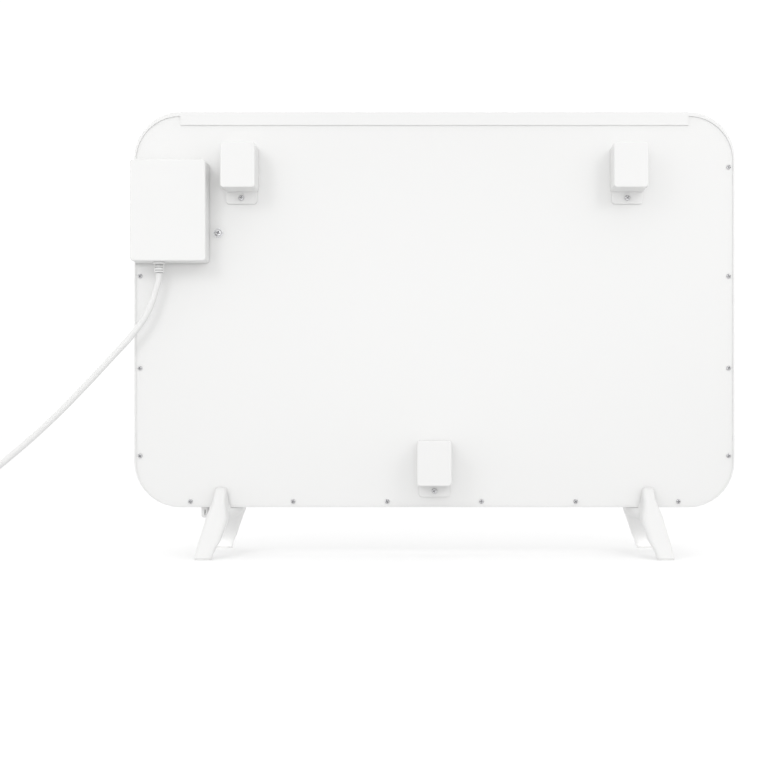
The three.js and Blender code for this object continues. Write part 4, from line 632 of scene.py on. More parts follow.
def soft_block(size: Point, centre: Point, corner: float, front: float = 0.0, rear: float = 0.0,
               segments: int = 6) -> bmesh.types.BMesh:
    """Makes a block with round corners along Y and round edges at its ends.

    Args:
        size: Its width, depth and height.
        centre: Its middle.
        corner: The radius of the four edges along Y.
        front: The radius of its edge at the high end of Y.
        rear: The radius of its edge at the low end of Y.
        segments: The steps of each round.

    Returns:
        The block.
    """
    form = bmesh.new()
    bmesh.ops.create_cube(form, size=1.0)
    bmesh.ops.scale(form, vec=size, verts=form.verts)
    soften(form, bar_edges(form, Axis.Y), corner, segments)
    half = size[1] / 2
    soften(form, rim_edges(form, -half), rear, segments)
    soften(form, rim_edges(form, half), front, segments)
    bmesh.ops.translate(form, vec=centre, verts=form.verts)
    return form


def turned(profile: Sequence[tuple[float, float]], steps: int = 32) -> bmesh.types.BMesh:
    """Spins a profile about Y.

    Args:
        profile: Pairs of a radius and a place on Y.
        steps: The steps of a full turn.

    Returns:
        The closed form.
    """
    form = bmesh.new()
    points = [form.verts.new((radius, place, 0.0)) for radius, place in profile]
    lines = [form.edges.new(pair) for pair in zip(points, points[1:])]
    bmesh.ops.spin(form, geom=points + lines, cent=(0, 0, 0), axis=(0, 1, 0), angle=2 * math.pi, steps=steps,
                   use_merge=True, use_duplicate=False)
    bmesh.ops.remove_doubles(form, verts=form.verts, dist=1e-4)
    bmesh.ops.recalc_face_normals(form, faces=form.faces)
    return form


def rounded_profile(corners: Sequence[tuple[float, float, float]], steps: int = 4) -> list[tuple[float, float]]:
    """Rounds the corners of a profile.

    Args:
        corners: Corners as radius, place and the radius of the round there.
        steps: The steps of each round.

    Returns:
        The profile as pairs.
    """
    points: list[tuple[float, float]] = []
    for k, (radius, place, round_off) in enumerate(corners):
        here = Vector((radius, place))
        if round_off <= 0 or k in (0, len(corners) - 1):
            points.append((radius, place))
            continue
        before = (Vector(corners[k - 1][:2]) - here).normalized()
        after = (Vector(corners[k + 1][:2]) - here).normalized()
        for step in range(steps + 1):
            share = step / steps
            start, end = here + before * round_off, here + after * round_off
            place_on = start.lerp(here, share).lerp(here.lerp(end, share), share)
            points.append((place_on.x, place_on.y))
    return points


def moved(form: bmesh.types.BMesh, place: Matrix) -> bmesh.types.BMesh:
    """Returns the same form after a transform."""
    bmesh.ops.transform(form, matrix=place, verts=form.verts)
    return form


def joined(*forms: bmesh.types.BMesh) -> bmesh.types.BMesh:
    """Puts several forms in one, without welding them."""
    whole = bmesh.new()
    for form in forms:
        mesh = bpy.data.meshes.new("loose_form")
        form.to_mesh(mesh)
        form.free()
        whole.from_mesh(mesh)
        bpy.data.meshes.remove(mesh)
    return whole


def carved(form: bmesh.types.BMesh, *tools: bmesh.types.BMesh) -> bmesh.types.BMesh:
    """Cuts tools out of a form.

    Args:
        form: The form, which is used up.
        *tools: What is cut away, used up too.

    Returns:
        The cut form.
    """
    objects = []
    for k, part in enumerate((form, joined(*tools))):
        bmesh.ops.recalc_face_normals(part, faces=part.faces)
        mesh = bpy.data.meshes.new(f"carving_{k}")
        part.to_mesh(mesh)
        part.free()
        made = bpy.data.objects.new(f"carving_{k}", mesh)
        bpy.context.scene.collection.objects.link(made)
        objects.append(made)
    body, tool = objects
    cut = body.modifiers.new("cut", "BOOLEAN")
    cut.operation = "DIFFERENCE"
    cut.solver = "EXACT"
    cut.use_self = True
    cut.object = tool
    graph = bpy.context.evaluated_depsgraph_get()
    result = bmesh.new()
    result.from_object(body, graph)
    for made in objects:
        mesh = made.data
        bpy.data.objects.remove(made)
        bpy.data.meshes.remove(mesh)
    return result


def smooth_line(points: Sequence[Vector], spacing: float) -> list[Vector]:
    """Lays a centripetal Catmull-Rom curve through points.

    Args:
        points: The points.
        spacing: About how far apart the returned points are.

    Returns:
        Points on the curve, with its first and last ones.
    """
    line = [points[0] * 2 - points[1], *points, points[-1] * 2 - points[-2]]
    result = [points[0].copy()]
    for before, start, end, after in zip(line, line[1:], line[2:], line[3:]):
        gaps = [max((b - a).length, 1e-6) ** 0.5 for a, b in ((before, start), (start, end), (end, after))]
        leave = ((start - before) / gaps[0] - (end - before) / (gaps[0] + gaps[1])
                 + (end - start) / gaps[1]) * gaps[1]
        arrive = ((end - start) / gaps[1] - (after - start) / (gaps[1] + gaps[2])
                  + (after - end) / gaps[2]) * gaps[1]
        count = max(1, round((end - start).length / spacing))
        for step in range(1, count + 1):
            t = step / count
            square, cube = t * t, t * t * t
            result.append(start * (2 * cube - 3 * square + 1) + leave * (cube - 2 * square + t)
                          + end * (3 * square - 2 * cube) + arrive * (cube - square))
    return result


def eased(places: Sequence[float], values: Sequence[float], place: float) -> float:
    """Reads a table of values with a smooth line that never overshoots.

    Args:
        places: The table's places, rising.
        values: Its values.
        place: The place that is read.

    Returns:
        The value there.
    """
    def slope(k: int) -> float:
        """Returns the slope of the line at one row."""
        if k in (0, len(places) - 1):
            return 0.0
        before = (values[k] - values[k - 1]) / (places[k] - places[k - 1])
        after = (values[k + 1] - values[k]) / (places[k + 1] - places[k])
        return 2 * before * after / (before + after) if before * after > 0 else 0.0

    k = max(1, next((i for i, here in enumerate(places) if here >= place), len(places) - 1))
    gap = places[k] - places[k - 1]
    t = min(max((place - places[k - 1]) / gap, 0.0), 1.0)
    square, cube = t * t, t * t * t
    return (values[k - 1] * (2 * cube - 3 * square + 1) + slope(k - 1) * gap * (cube - 2 * square + t)
            + values[k] * (3 * square - 2 * cube) + slope(k) * gap * (cube - square))


def line_length(points: Sequence[Vector]) -> float:
    """Returns the length of a line through points."""
    return sum((b - a).length for a, b in zip(points, points[1:]))


@dataclass
class PanelSizes:
    """Sizes of the panel that several pieces share."""

    width: float = 600.0
    height: float = 395.0
    lift: float = 47.0
    front_y: float = 11.0
    plate_rear: float = -9.5
    fit: float = 0.3
    foot_x: float = 213.0
    bracket_x: float = 192.7
    bracket_top_z: float = 384.3
    bracket_low_z: float = 91.6
    screw_inset: float = 5.8

    @property
    def middle(self) -> float:
        """The height of the panel's middle."""
        return self.lift + self.height / 2


PANEL = PanelSizes()


@dataclass
class BoxSizes:
    """Place and size of the control box."""

    left: float = -299.5
    right: float = -225.0
    low: float = 290.7
    high: float = 390.7
    rear: float = -43.9
    seam: float = -14.8
    wall: float = 2.0
    switch_z: float = 355.7
    outlet_x: float = -272.8

    @property
    def middle_y(self) -> float:
        """The middle of the box between its two faces."""
        return -27.6

    @property
    def middle_x(self) -> float:
        """The middle of its width."""
        return (self.left + self.right) / 2

    @property
    def middle_z(self) -> float:
        """The middle of its height."""
        return (self.low + self.high) / 2


BOX = BoxSizes()


@dataclass
class Studio:
    """Camera, floor and soft light, as in the photograph."""

    distance: float = 2009.8
    eye: float = 134.2
    lens: float = 92.308
    shift: tuple[float, float] = (-0.05692, 0.03846)
    floor_size: float = 30000.0
    key_place: Point = (0.62, -1.15, 0.78)
    key_aim: Point = (0.35, 0.0, 0.27)
    key_power: float = 0.24
    fill_place: Point = (0.0, -2.1, 0.35)
    fill_power: float = 3.56
    glow_place: Point = (0.222, 0.075, -0.022)
    glow_power: float = 0.008
    surround: float = 1.06
    below: float = 0.76
    horizon: tuple[float, float] = (-0.3, -0.03)

    def camera(self) -> None:
        """Sets the camera straight behind the panel, low over the floor."""
        data = bpy.data.cameras.new("studio_camera")
        data.lens = self.lens
        data.sensor_width = 36.0
        data.shift_x, data.shift_y = self.shift
        data.clip_start, data.clip_end = 0.05, 60.0
        camera = bpy.data.objects.new("studio_camera", data)
        camera.location = (0.0, -self.distance * MM, self.eye * MM)
        camera.rotation_euler = (math.pi / 2, 0.0, 0.0)
        bpy.context.scene.collection.objects.link(camera)
        bpy.context.scene.camera = camera

    def floor(self) -> None:
        """Lays a pale floor."""
        form = bmesh.new()
        bmesh.ops.create_grid(form, x_segments=2, y_segments=2, size=self.floor_size / 2 * MM)
        mesh = bpy.data.meshes.new("studio_floor")
        form.to_mesh(mesh)
        form.free()
        ground = bpy.data.objects.new("studio_floor", mesh)
        bpy.context.scene.collection.objects.link(ground)
        graph = Graph("studio_floor_white")
        haze = graph.noise(1.5, 2.0)
        graph.set(Base_Color=graph.shades(haze, (0.95, 0.95, 0.95), (0.97, 0.97, 0.97)), Roughness=0.9)
        mesh.materials.append(graph.material)
        ground.visible_diffuse = ground.visible_shadow = False

    def light(self, name: str, place: Point, aim: Point, size: tuple[float, float], power: float,
              spread: float = 180.0) -> None:
        """Adds one soft light.

        Args:
            name: Its name.
            place: Where it stands, in metres.
            aim: What it looks at, in metres.
            size: Its width and height, in metres.
            power: Its power in watts.
            spread: The width of its beam in degrees.
        """
        data = bpy.data.lights.new(name, "AREA")
        data.shape = "RECTANGLE"
        data.size, data.size_y = size
        data.energy = power
        data.spread = math.radians(spread)
        lamp = bpy.data.objects.new(name, data)
        lamp.location = place
        lamp.visible_camera = False
        lamp.rotation_euler = (Vector(aim) - Vector(place)).to_track_quat("-Z", "Y").to_euler()
        bpy.context.scene.collection.objects.link(lamp)

    def lights(self) -> None:
        """Adds the lights and the white surroundings."""
        world = bpy.data.worlds.new("studio_world")
        world.use_nodes = True
        tree = world.node_tree
        plain = tree.nodes["Background"]
        plain.inputs["Color"].default_value = (1.0, 1.0, 1.0, 1.0)
        where = tree.nodes.new("ShaderNodeTexCoord")
        parts = tree.nodes.new("ShaderNodeSeparateXYZ")
        fade = tree.nodes.new("ShaderNodeMapRange")
        ends = (*self.horizon, self.below, self.surround)
        for key, value in zip(("From Min", "From Max", "To Min", "To Max"), ends):
            fade.inputs[key].default_value = value
        tree.links.new(where.outputs["Generated"], parts.inputs[0])
        tree.links.new(parts.outputs["Z"], fade.inputs["Value"])
        tree.links.new(fade.outputs["Result"], plain.inputs["Strength"])
        bpy.context.scene.world = world
        for name, side in (("left", -1), ("right", 1)):
            x, y, z = self.key_place
            aim = (side * self.key_aim[0], self.key_aim[1], self.key_aim[2])
            self.light(f"light_behind_{name}", (side * x, y, z), aim, (0.35, 0.35), self.key_power, 60.0)
            self.light(f"light_below_{name}", (side * self.glow_place[0], self.glow_place[1], self.glow_place[2]),
                       (side * self.glow_place[0], self.glow_place[1], 0.0), (0.04, 0.04), self.glow_power)
        self.light("light_before", (-x, -y, z), (0.0, 0.0, 0.25), (0.5, 0.5), self.key_power)
        self.light("fill_behind", self.fill_place, (0.0, 0.0, 0.25), (0.6, 0.4), self.fill_power)
        bpy.context.scene.view_settings.view_transform = "Standard"


@dataclass
class MainsCord:
    """The cord from its outlet to the plug, in one unbroken curve."""

    radius: float = 3.2
    outlet_z: float = 279.5
    coil_x: float = -612.0
    coil_outer: float = 46.5
    pitch: float = 7.0
    layer_turns: float = 2.5
    climb: float = 7.0
    steps_per_turn: int = 36
    floor_gap: float = 0.1
    lead: float = 44.0
    spacing: float = 4.0
    length: float = 1.8
    route: tuple[tuple[float, float], ...] = (
        (0.6, 273), (1.9, 268), (3.8, 262), (6.4, 253.1), (10.4, 243.2), (15.2, 234.3), (20, 227.3), (24.7, 221.3),
        (29.6, 215), (36.8, 207.2), (44.4, 199.2), (53.4, 189.4), (65.9, 175.8), (79.2, 161.9), (90.4, 150.3),
        (100.3, 140.4), (112.2, 129), (127.2, 115.4), (145.2, 100), (165.2, 83.6), (185.2, 67.8), (205.2, 52.8),
        (225.2, 39), (245.2, 26.8), (265.2, 16.8), (283.2, 9.8), (301.2, 5.4), (317.2, 3.6),
    )

    @property
    def coil_y(self) -> float:
        """The coil's middle on Y."""
        return BOX.middle_y + self.coil_outer

    @property
    def rest_z(self) -> float:
        """The height of the cord's middle where it lies on the floor."""
        return self.radius + self.floor_gap

    @property
    def lead_start(self) -> Vector:
        """Where the cord leaves the coil's upper layer."""
        return Vector((self.coil_x + 2 * self.radius + PANEL.fit, self.coil_y + self.coil_outer,
                       self.rest_z + self.climb))

    def coil_place(self, turn: float) -> Vector:
        """Finds a place on the coil.

        Args:
            turn: Turns from its start.

        Returns:
            The place.
        """
        back = self.layer_turns + 0.25
        radius = self.coil_outer - self.pitch * (back - abs(turn - back))
        angle = -math.pi / 2 - 2 * math.pi * turn
        share = min(max((turn - self.layer_turns) / 0.5, 0.0), 1.0)
        height = self.rest_z + self.climb * share * share * (3 - 2 * share)
        return Vector((self.coil_x + radius * math.cos(angle), self.coil_y + radius * math.sin(angle), height))

    def hanging(self) -> list[Vector]:
        """Returns the stretch from the outlet to the coil."""
        places = ((0.0, self.outlet_z), *self.route)
        points = [Vector((BOX.outlet_x - away, BOX.middle_y, z)) for away, z in places]
        points.append(Vector((self.coil_x + 2 * self.radius + PANEL.fit, BOX.middle_y, self.rest_z)))
        return smooth_line(points, self.spacing)

    def coiled(self) -> list[Vector]:
        """Returns the coil's own line."""
        turns = 2 * self.layer_turns + 0.5
        count = round(turns * self.steps_per_turn)
        return [self.coil_place(turns * step / count) for step in range(count + 1)]

    def leading(self) -> list[Vector]:
        """Returns the short lead from the coil to the plug."""
        start = self.lead_start
        heights = ((0.0, start.z), (0.16, start.z - 0.3), (0.42, self.rest_z + 0.5 * self.climb),
                   (0.66, self.rest_z + 0.3), (0.84, self.rest_z))
        points = [Vector((start.x + share * self.lead, start.y, z)) for share, z in heights]
        points.append(PLUG.place() - PLUG.ahead() * 2 * PANEL.fit)
        return smooth_line(points, self.spacing)

    def build(self, shop: Workshop, plug_pieces: Sequence[bpy.types.Object]) -> bpy.types.Object:
        """Makes the cord as one curve.

        Args:
            shop: The workshop.
            plug_pieces: The pieces of its plug; not used.

        Returns:
            The cord.
        """
        line = [*self.hanging(), *self.coiled(), *self.leading()]
        data = bpy.data.curves.new("mains_cord", "CURVE")
        data.dimensions = "3D"
        data.bevel_depth = self.radius * MM
        data.bevel_resolution = 4
        data.use_fill_caps = True
        spline = data.splines.new("POLY")
        spline.points.add(len(line) - 1)
        for point, place in zip(spline.points, line):
            point.co = (*(place * MM), 1.0)
        spline.use_smooth = True
        cord = bpy.data.objects.new("mains_cord", data)
        bpy.context.scene.collection.objects.link(cord)
        cord.data.materials.append(shop.shelf.take(WHITE_SHEATH))
        shop.settle(cord, Body.FIXED, ("power_cord", "cord_coil", "plug_lead"))
        LOG.info("cord length %.4f m", line_length(line) * MM)
        tuple(line[0] * MM)
        return cord


@dataclass
class Plug:
    """Two-pin earthed plug that lies on its neck and on the rim of its disc."""

    neck: float = 4.4
    neck_top: float = 5.6
    neck_length: float = 24.0
    grip: float = 7.5
    grip_top: float = 14.0
    grip_length: float = 20.0
    disc: float = 18.5
    disc_length: float = 16.0
    edge: float = 2.0
    groove: float = 4.0
    groove_depth: float = 3.2
    pin: float = 2.4
    pin_spread: float = 9.5
    floor_gap: float = 0.1
    rings: int = 5

    def tilt(self) -> float:
        """Returns the angle of its axis over the floor."""
        rim = self.disc + 2 * self.floor_gap
        start = self.neck_length + self.grip_length
        return math.atan2(rim, start) - math.asin((self.neck + PANEL.fit) / math.hypot(rim, start))

    def ahead(self) -> Vector:
        """Returns the direction of its pins."""
        return Vector((math.cos(self.tilt()), 0.0, math.sin(self.tilt())))

    def place(self) -> Vector:
        """Returns the end of its neck."""
        start = CORD.lead_start
        return Vector((start.x + CORD.lead, start.y, self.neck + PANEL.fit))

    def frame(self) -> Matrix:
        """Returns the transform from its own axes: X sideways, Y ahead and Z up."""
        side, ahead = Axis.Y.value, self.ahead()
        up = side.cross(ahead)
        turn = Matrix((side, ahead, up)).transposed().to_4x4()
        return Matrix.Translation(self.place()) @ turn

    def body(self) -> bmesh.types.BMesh:
        """Returns the moulded body."""
        start = self.neck_length + self.grip_length
        face = start + self.disc_length
        corners = [(0, 0, 0), (self.neck, 0, 0.8)]
        pitch = self.neck_length / (self.rings + 1)
        for ring in range(self.rings):
            low = pitch * (ring + 0.55)
            share = low / self.neck_length
            radius = self.neck + (self.neck_top - self.neck) * share
            corners += [(radius, low, 0.3), (radius - 0.9, low + 0.3, 0.2),
                        (radius - 0.9, low + pitch * 0.4, 0.2), (radius + 0.05, low + pitch * 0.4 + 0.3, 0.3)]
        corners += [(self.neck_top, self.neck_length, 0.8), (self.grip, self.neck_length + self.edge, 1.0),
                    (self.grip_top, start - self.edge, 2.2), (self.disc - self.edge, start - self.edge, 0.4),
                    (self.disc, start, 1.2), (self.disc, face - self.edge, 1.2),
                    (self.disc - self.edge, face, 0.5), (0, face, 0)]
        form = turned(rounded_profile(corners, 3), 48)
        cutters = []
        for side in (-1, 1):
            cutters.append(soft_block((2 * self.groove, self.disc_length, 2 * self.groove_depth),
                                      (0, start + self.edge + self.disc_length / 2, side * self.disc), 0.8))
            hole = turned([(0, face - self.edge), (self.pin + 0.3, face - self.edge), (self.pin + 0.3, face + 1),
                           (0, face + 1)], 24)
            cutters.append(moved(hole, Matrix.Translation((side * self.pin_spread, 0, 0))))
        return carved(form, *cutters)

    def build(self, shop: Workshop) -> list[bpy.types.Object]:
        """Makes the plug.

        Args:
            shop: The workshop.

        Returns:
            Its pieces.
        """
        shop.dress(NICKEL, "plug_pins", "plug_earth_strip")
        body = shop.piece("plug_moulding", moved(self.body(), self.frame()), WHITE_PLASTIC,
                          replaces=("plug_body",), smooth=42)
        return [body, shop.nodes["plug_pins"], shop.nodes["plug_earth_strip"]]


PLUG = Plug()
CORD = MainsCord()


@dataclass
class CoilClip:
    """Snap-on clip that holds the turns of the coil together."""

    width: float = 10.0
    wall: float = 1.1
    play: float = 0.35
    turn: float = 0.25
    lip: float = 3.6

    def form(self) -> bmesh.types.BMesh:
        """Returns the clip, open towards the floor between its two lips."""
        inner = CORD.coil_place(2 + self.turn)
        outer = CORD.coil_place(self.turn)
        left = outer.x - CORD.radius - self.play
        right = inner.x + CORD.radius + self.play
        top = CORD.rest_z + CORD.climb + CORD.radius + self.play
        low = CORD.floor_gap
        y, x = outer.y, (left + right) / 2
        body = soft_block((right - left + 2 * self.wall, self.width, top + self.wall - low),
                          (x, y, (top + self.wall + low) / 2), CORD.radius + self.wall, 0.3, 0.3, 6)
        room = soft_block((right - left, self.width + 4, top + self.play - low),
                          (x, y, (top + low - self.play) / 2), CORD.radius)
        mouth = soft_block((right - left - 2 * self.lip, self.width + 4, 8.0), (x, y, 0.0), 0.0)
        return carved(body, room, mouth)

    def build(self, shop: Workshop) -> bpy.types.Object:
        """Makes the clip.

        Args:
            shop: The workshop.

        Returns:
            The clip.
        """
        return shop.piece("coil_clip", self.form(), WHITE_PLASTIC, smooth=40)


@dataclass
class PanelShell:
    """Front tray, back plate and the layers between them."""

    plate_stretch: Point = (1.00058, 1.0, 1.0009)

    def build(self, shop: Workshop) -> None:
        """Makes the panel.

        Args:
            shop: The workshop.
        """
        shop.piece("front_tray", shop.copy_of("front_shell"), WHITE_COAT, replaces=("front_shell",),
                   smooth=34)
        plate = shop.copy_of("back_panel")
        centre = Matrix.Translation((0, 0, -PANEL.middle))
        bmesh.ops.scale(plate, vec=self.plate_stretch, space=centre, verts=plate.verts)
        shop.piece("back_plate", plate, WHITE_COAT, replaces=("back_panel",), smooth=30)
        shop.dress(CARBON, "heating_element")
        shop.dress(COPPER, "busbar_left", "busbar_right")
        shop.dress(FOIL, "reflector_sheet")
        shop.dress(FIBRE, "insulation_board")
        shop.dress(ZINC, "cross_rail", "lower_anchor", "thermal_fuse")
        shop.dress(CREAM_PLASTIC, "thermal_cutout")
        shop.dress(BROWN_SHEATH, "live_lead")
        shop.dress(BLUE_SHEATH, "neutral_lead")
        shop.dress(GREEN_SHEATH, "earth_lead")
        shop.dress(GREY_SHEATH, "sensor_lead", "display_lead")
        shop.dress(BLACK_RUBBER, "wire_grommet")


@dataclass
class CrossScrew:
    """Pan-head screw with a cross recess, its seat at zero and its head towards -Y."""

    head: float = 2.25
    height: float = 1.5
    shank: float = 1.3
    length: float = 6.5
    recess: float = 1.85
    blade_depth: float = 1.5
    blade_reach: float = 1.15
    blade_flatness: float = 0.42
    overrun: float = 0.1

    def blade(self, angle: float) -> bmesh.types.BMesh:
        """Makes one tapered blade of the recess's cross.

        Args:
            angle: How far it is turned, in degrees.

        Returns:
            The blade.
        """
        deep = self.blade_depth * self.recess
        form = bmesh.new()
        bmesh.ops.create_cone(form, cap_ends=True, segments=4, radius1=0.0,
                              radius2=self.recess * self.blade_reach, depth=deep)
        bmesh.ops.remove_doubles(form, verts=form.verts, dist=1e-4)
        bmesh.ops.scale(form, vec=(1.0, self.blade_flatness, 1.0), verts=form.verts)
        stand = Matrix.Rotation(math.pi / 2, 4, "X")
        turn = Matrix.Rotation(math.radians(angle), 4, "Y")
        seat = Matrix.Translation((0, -self.height + deep / 2 - self.overrun, 0))
        return moved(form, seat @ turn @ stand)

    def form(self, turn: float = 0.0) -> bmesh.types.BMesh:
        """Makes the screw.

        Args:
            turn: How far its recess is turned, in degrees.

        Returns:
            The screw.
        """
        profile = rounded_profile([(0, -self.height, 0), (0.72 * self.head, -self.height, 0.4),
                                   (self.head, -0.45 * self.height, 0.4), (self.head, 0, 0.15),
                                   (self.shank, 0, 0), (self.shank, self.length - self.shank, 0),
                                   (0, self.length, 0)], 4)
        above = -self.height - self.overrun
        middle = turned([(0, above), (0.62 * self.recess, above),
                         (0, 1.55 * self.recess - self.height)], 16)
        return carved(turned(profile, 28), self.blade(turn), self.blade(turn + 90.0), middle)


@dataclass
class PlateScrews:
    """The row of small screws round the back plate, and the earth point."""

    screw: CrossScrew = field(default_factory=CrossScrew)
    side_shares: tuple[float, ...] = (0.13, 0.352, 0.585, 0.861)
    bottom_shares: tuple[float, ...] = (0.157, 0.471, 0.813)

    def places(self) -> list[tuple[str, float, float]]:
        """Returns the name, X and Z of every screw."""
        x = PANEL.width / 2 - PANEL.screw_inset
        heights = [PANEL.lift + share * PANEL.height for share in self.side_shares]
        rows = [(f"right_screw_{k + 1}", x, z) for k, z in enumerate(heights)]
        rows += [(f"left_screw_{k + 1}", -x, z) for k, z in enumerate(heights[:-1])]
        low = PANEL.lift + PANEL.screw_inset
        spread = [side * share * PANEL.width / 2 for side in (-1, 1) for share in self.bottom_shares]
        return rows + [(f"bottom_screw_{k + 1}", x, low) for k, x in enumerate(sorted(spread))]

    def build(self, shop: Workshop) -> None:
        """Makes the screws.

        Args:
            shop: The workshop.
        """
        for k, (name, x, z) in enumerate(self.places()):
            form = self.screw.form(turn=37.0 * k % 90)
            seat = Matrix.Translation((x, PANEL.plate_rear - PANEL.fit, z))
            shop.piece(name, moved(form, seat), ZINC)
        shop.dress(ZINC, "earth_washer")
        big = CrossScrew(3.8, 2.8, 2.0, 8.0, 2.3)
        seat = Matrix.Translation((BOX.right + 9.0, PANEL.plate_rear - 2 * PANEL.fit - 0.9, BOX.middle_z - 19.5))
        shop.piece("earth_screw_cross", moved(big.form(20), seat), ZINC, replaces=("earth_screw",))


@dataclass
class Spacer:
    """Hollow wall spacer with one screwed tab below."""

    width: float = 34.0
    height: float = 44.6
    depth: float = 44.0
    corner: float = 3.2
    edge: float = 1.2
    wall: float = 2.0
    tab_width: float = 31.0
    tab: float = 12.0
    tab_thickness: float = 2.5
    tab_hole: float = 2.2
    rib: float = 1.6

    def form(self) -> bmesh.types.BMesh:
        """Returns the spacer, with its plate side at the fit's distance from the plate."""
        start = PANEL.plate_rear - PANEL.fit
        end = PANEL.plate_rear - self.depth
        outer = soft_block((self.width, start - end, self.height), (0, (start + end) / 2, 0), self.corner,
                           rear=self.edge, segments=6)
        inner = soft_block((self.width - 2 * self.wall, start - end, self.height - 2 * self.wall),
                           (0, (start + end) / 2 + self.wall, 0), self.corner - 1, rear=1.0, segments=4)
        shell = carved(outer, inner)
        low = -self.height / 2
        tab = soft_block((self.tab_width, self.tab_thickness, self.tab + self.corner),
                         (0, start - self.tab_thickness / 2, low + (self.corner - self.tab) / 2), self.corner,
                         rear=0.4, segments=5)
        hole = turned([(0, start - 4), (self.tab_hole, start - 4), (self.tab_hole, start + 1), (0, start + 1)], 24)
        tab = carved(tab, moved(hole, Matrix.Translation((0, 0, low - self.tab / 2))))
        rib = soft_block((self.rib, start - end - self.wall / 2, self.height - self.wall),
                         (0, (start + end + self.wall) / 2, 0), 0.0)
        return joined(shell, tab, rib)

    def build(self, shop: Workshop) -> None:
        """Makes the three spacers and their screws.

        Args:
            shop: The workshop.
        """
        screw = CrossScrew(2.8, 2.0, 1.7, 7.6, 1.9)
        places = {"left": (-PANEL.bracket_x, PANEL.bracket_top_z), "right": (PANEL.bracket_x, PANEL.bracket_top_z),
                  "bottom": (0.0, PANEL.bracket_low_z)}
        for k, (name, (x, z)) in enumerate(places.items()):
            shop.piece(f"spacer_{name}", moved(self.form(), Matrix.Translation((x, 0, z))), WHITE_PLASTIC,
                       replaces=(f"bracket_{name}",), smooth=40)
            seat = Matrix.Translation((x, PANEL.plate_rear - self.tab_thickness - 2 * PANEL.fit,
                                       z - (self.height + self.tab) / 2))
            shop.piece(f"spacer_screw_{name}", moved(screw.form(turn=15 + 31 * k), seat), ZINC,
                       replaces=(f"bracket_screw_{name}",))


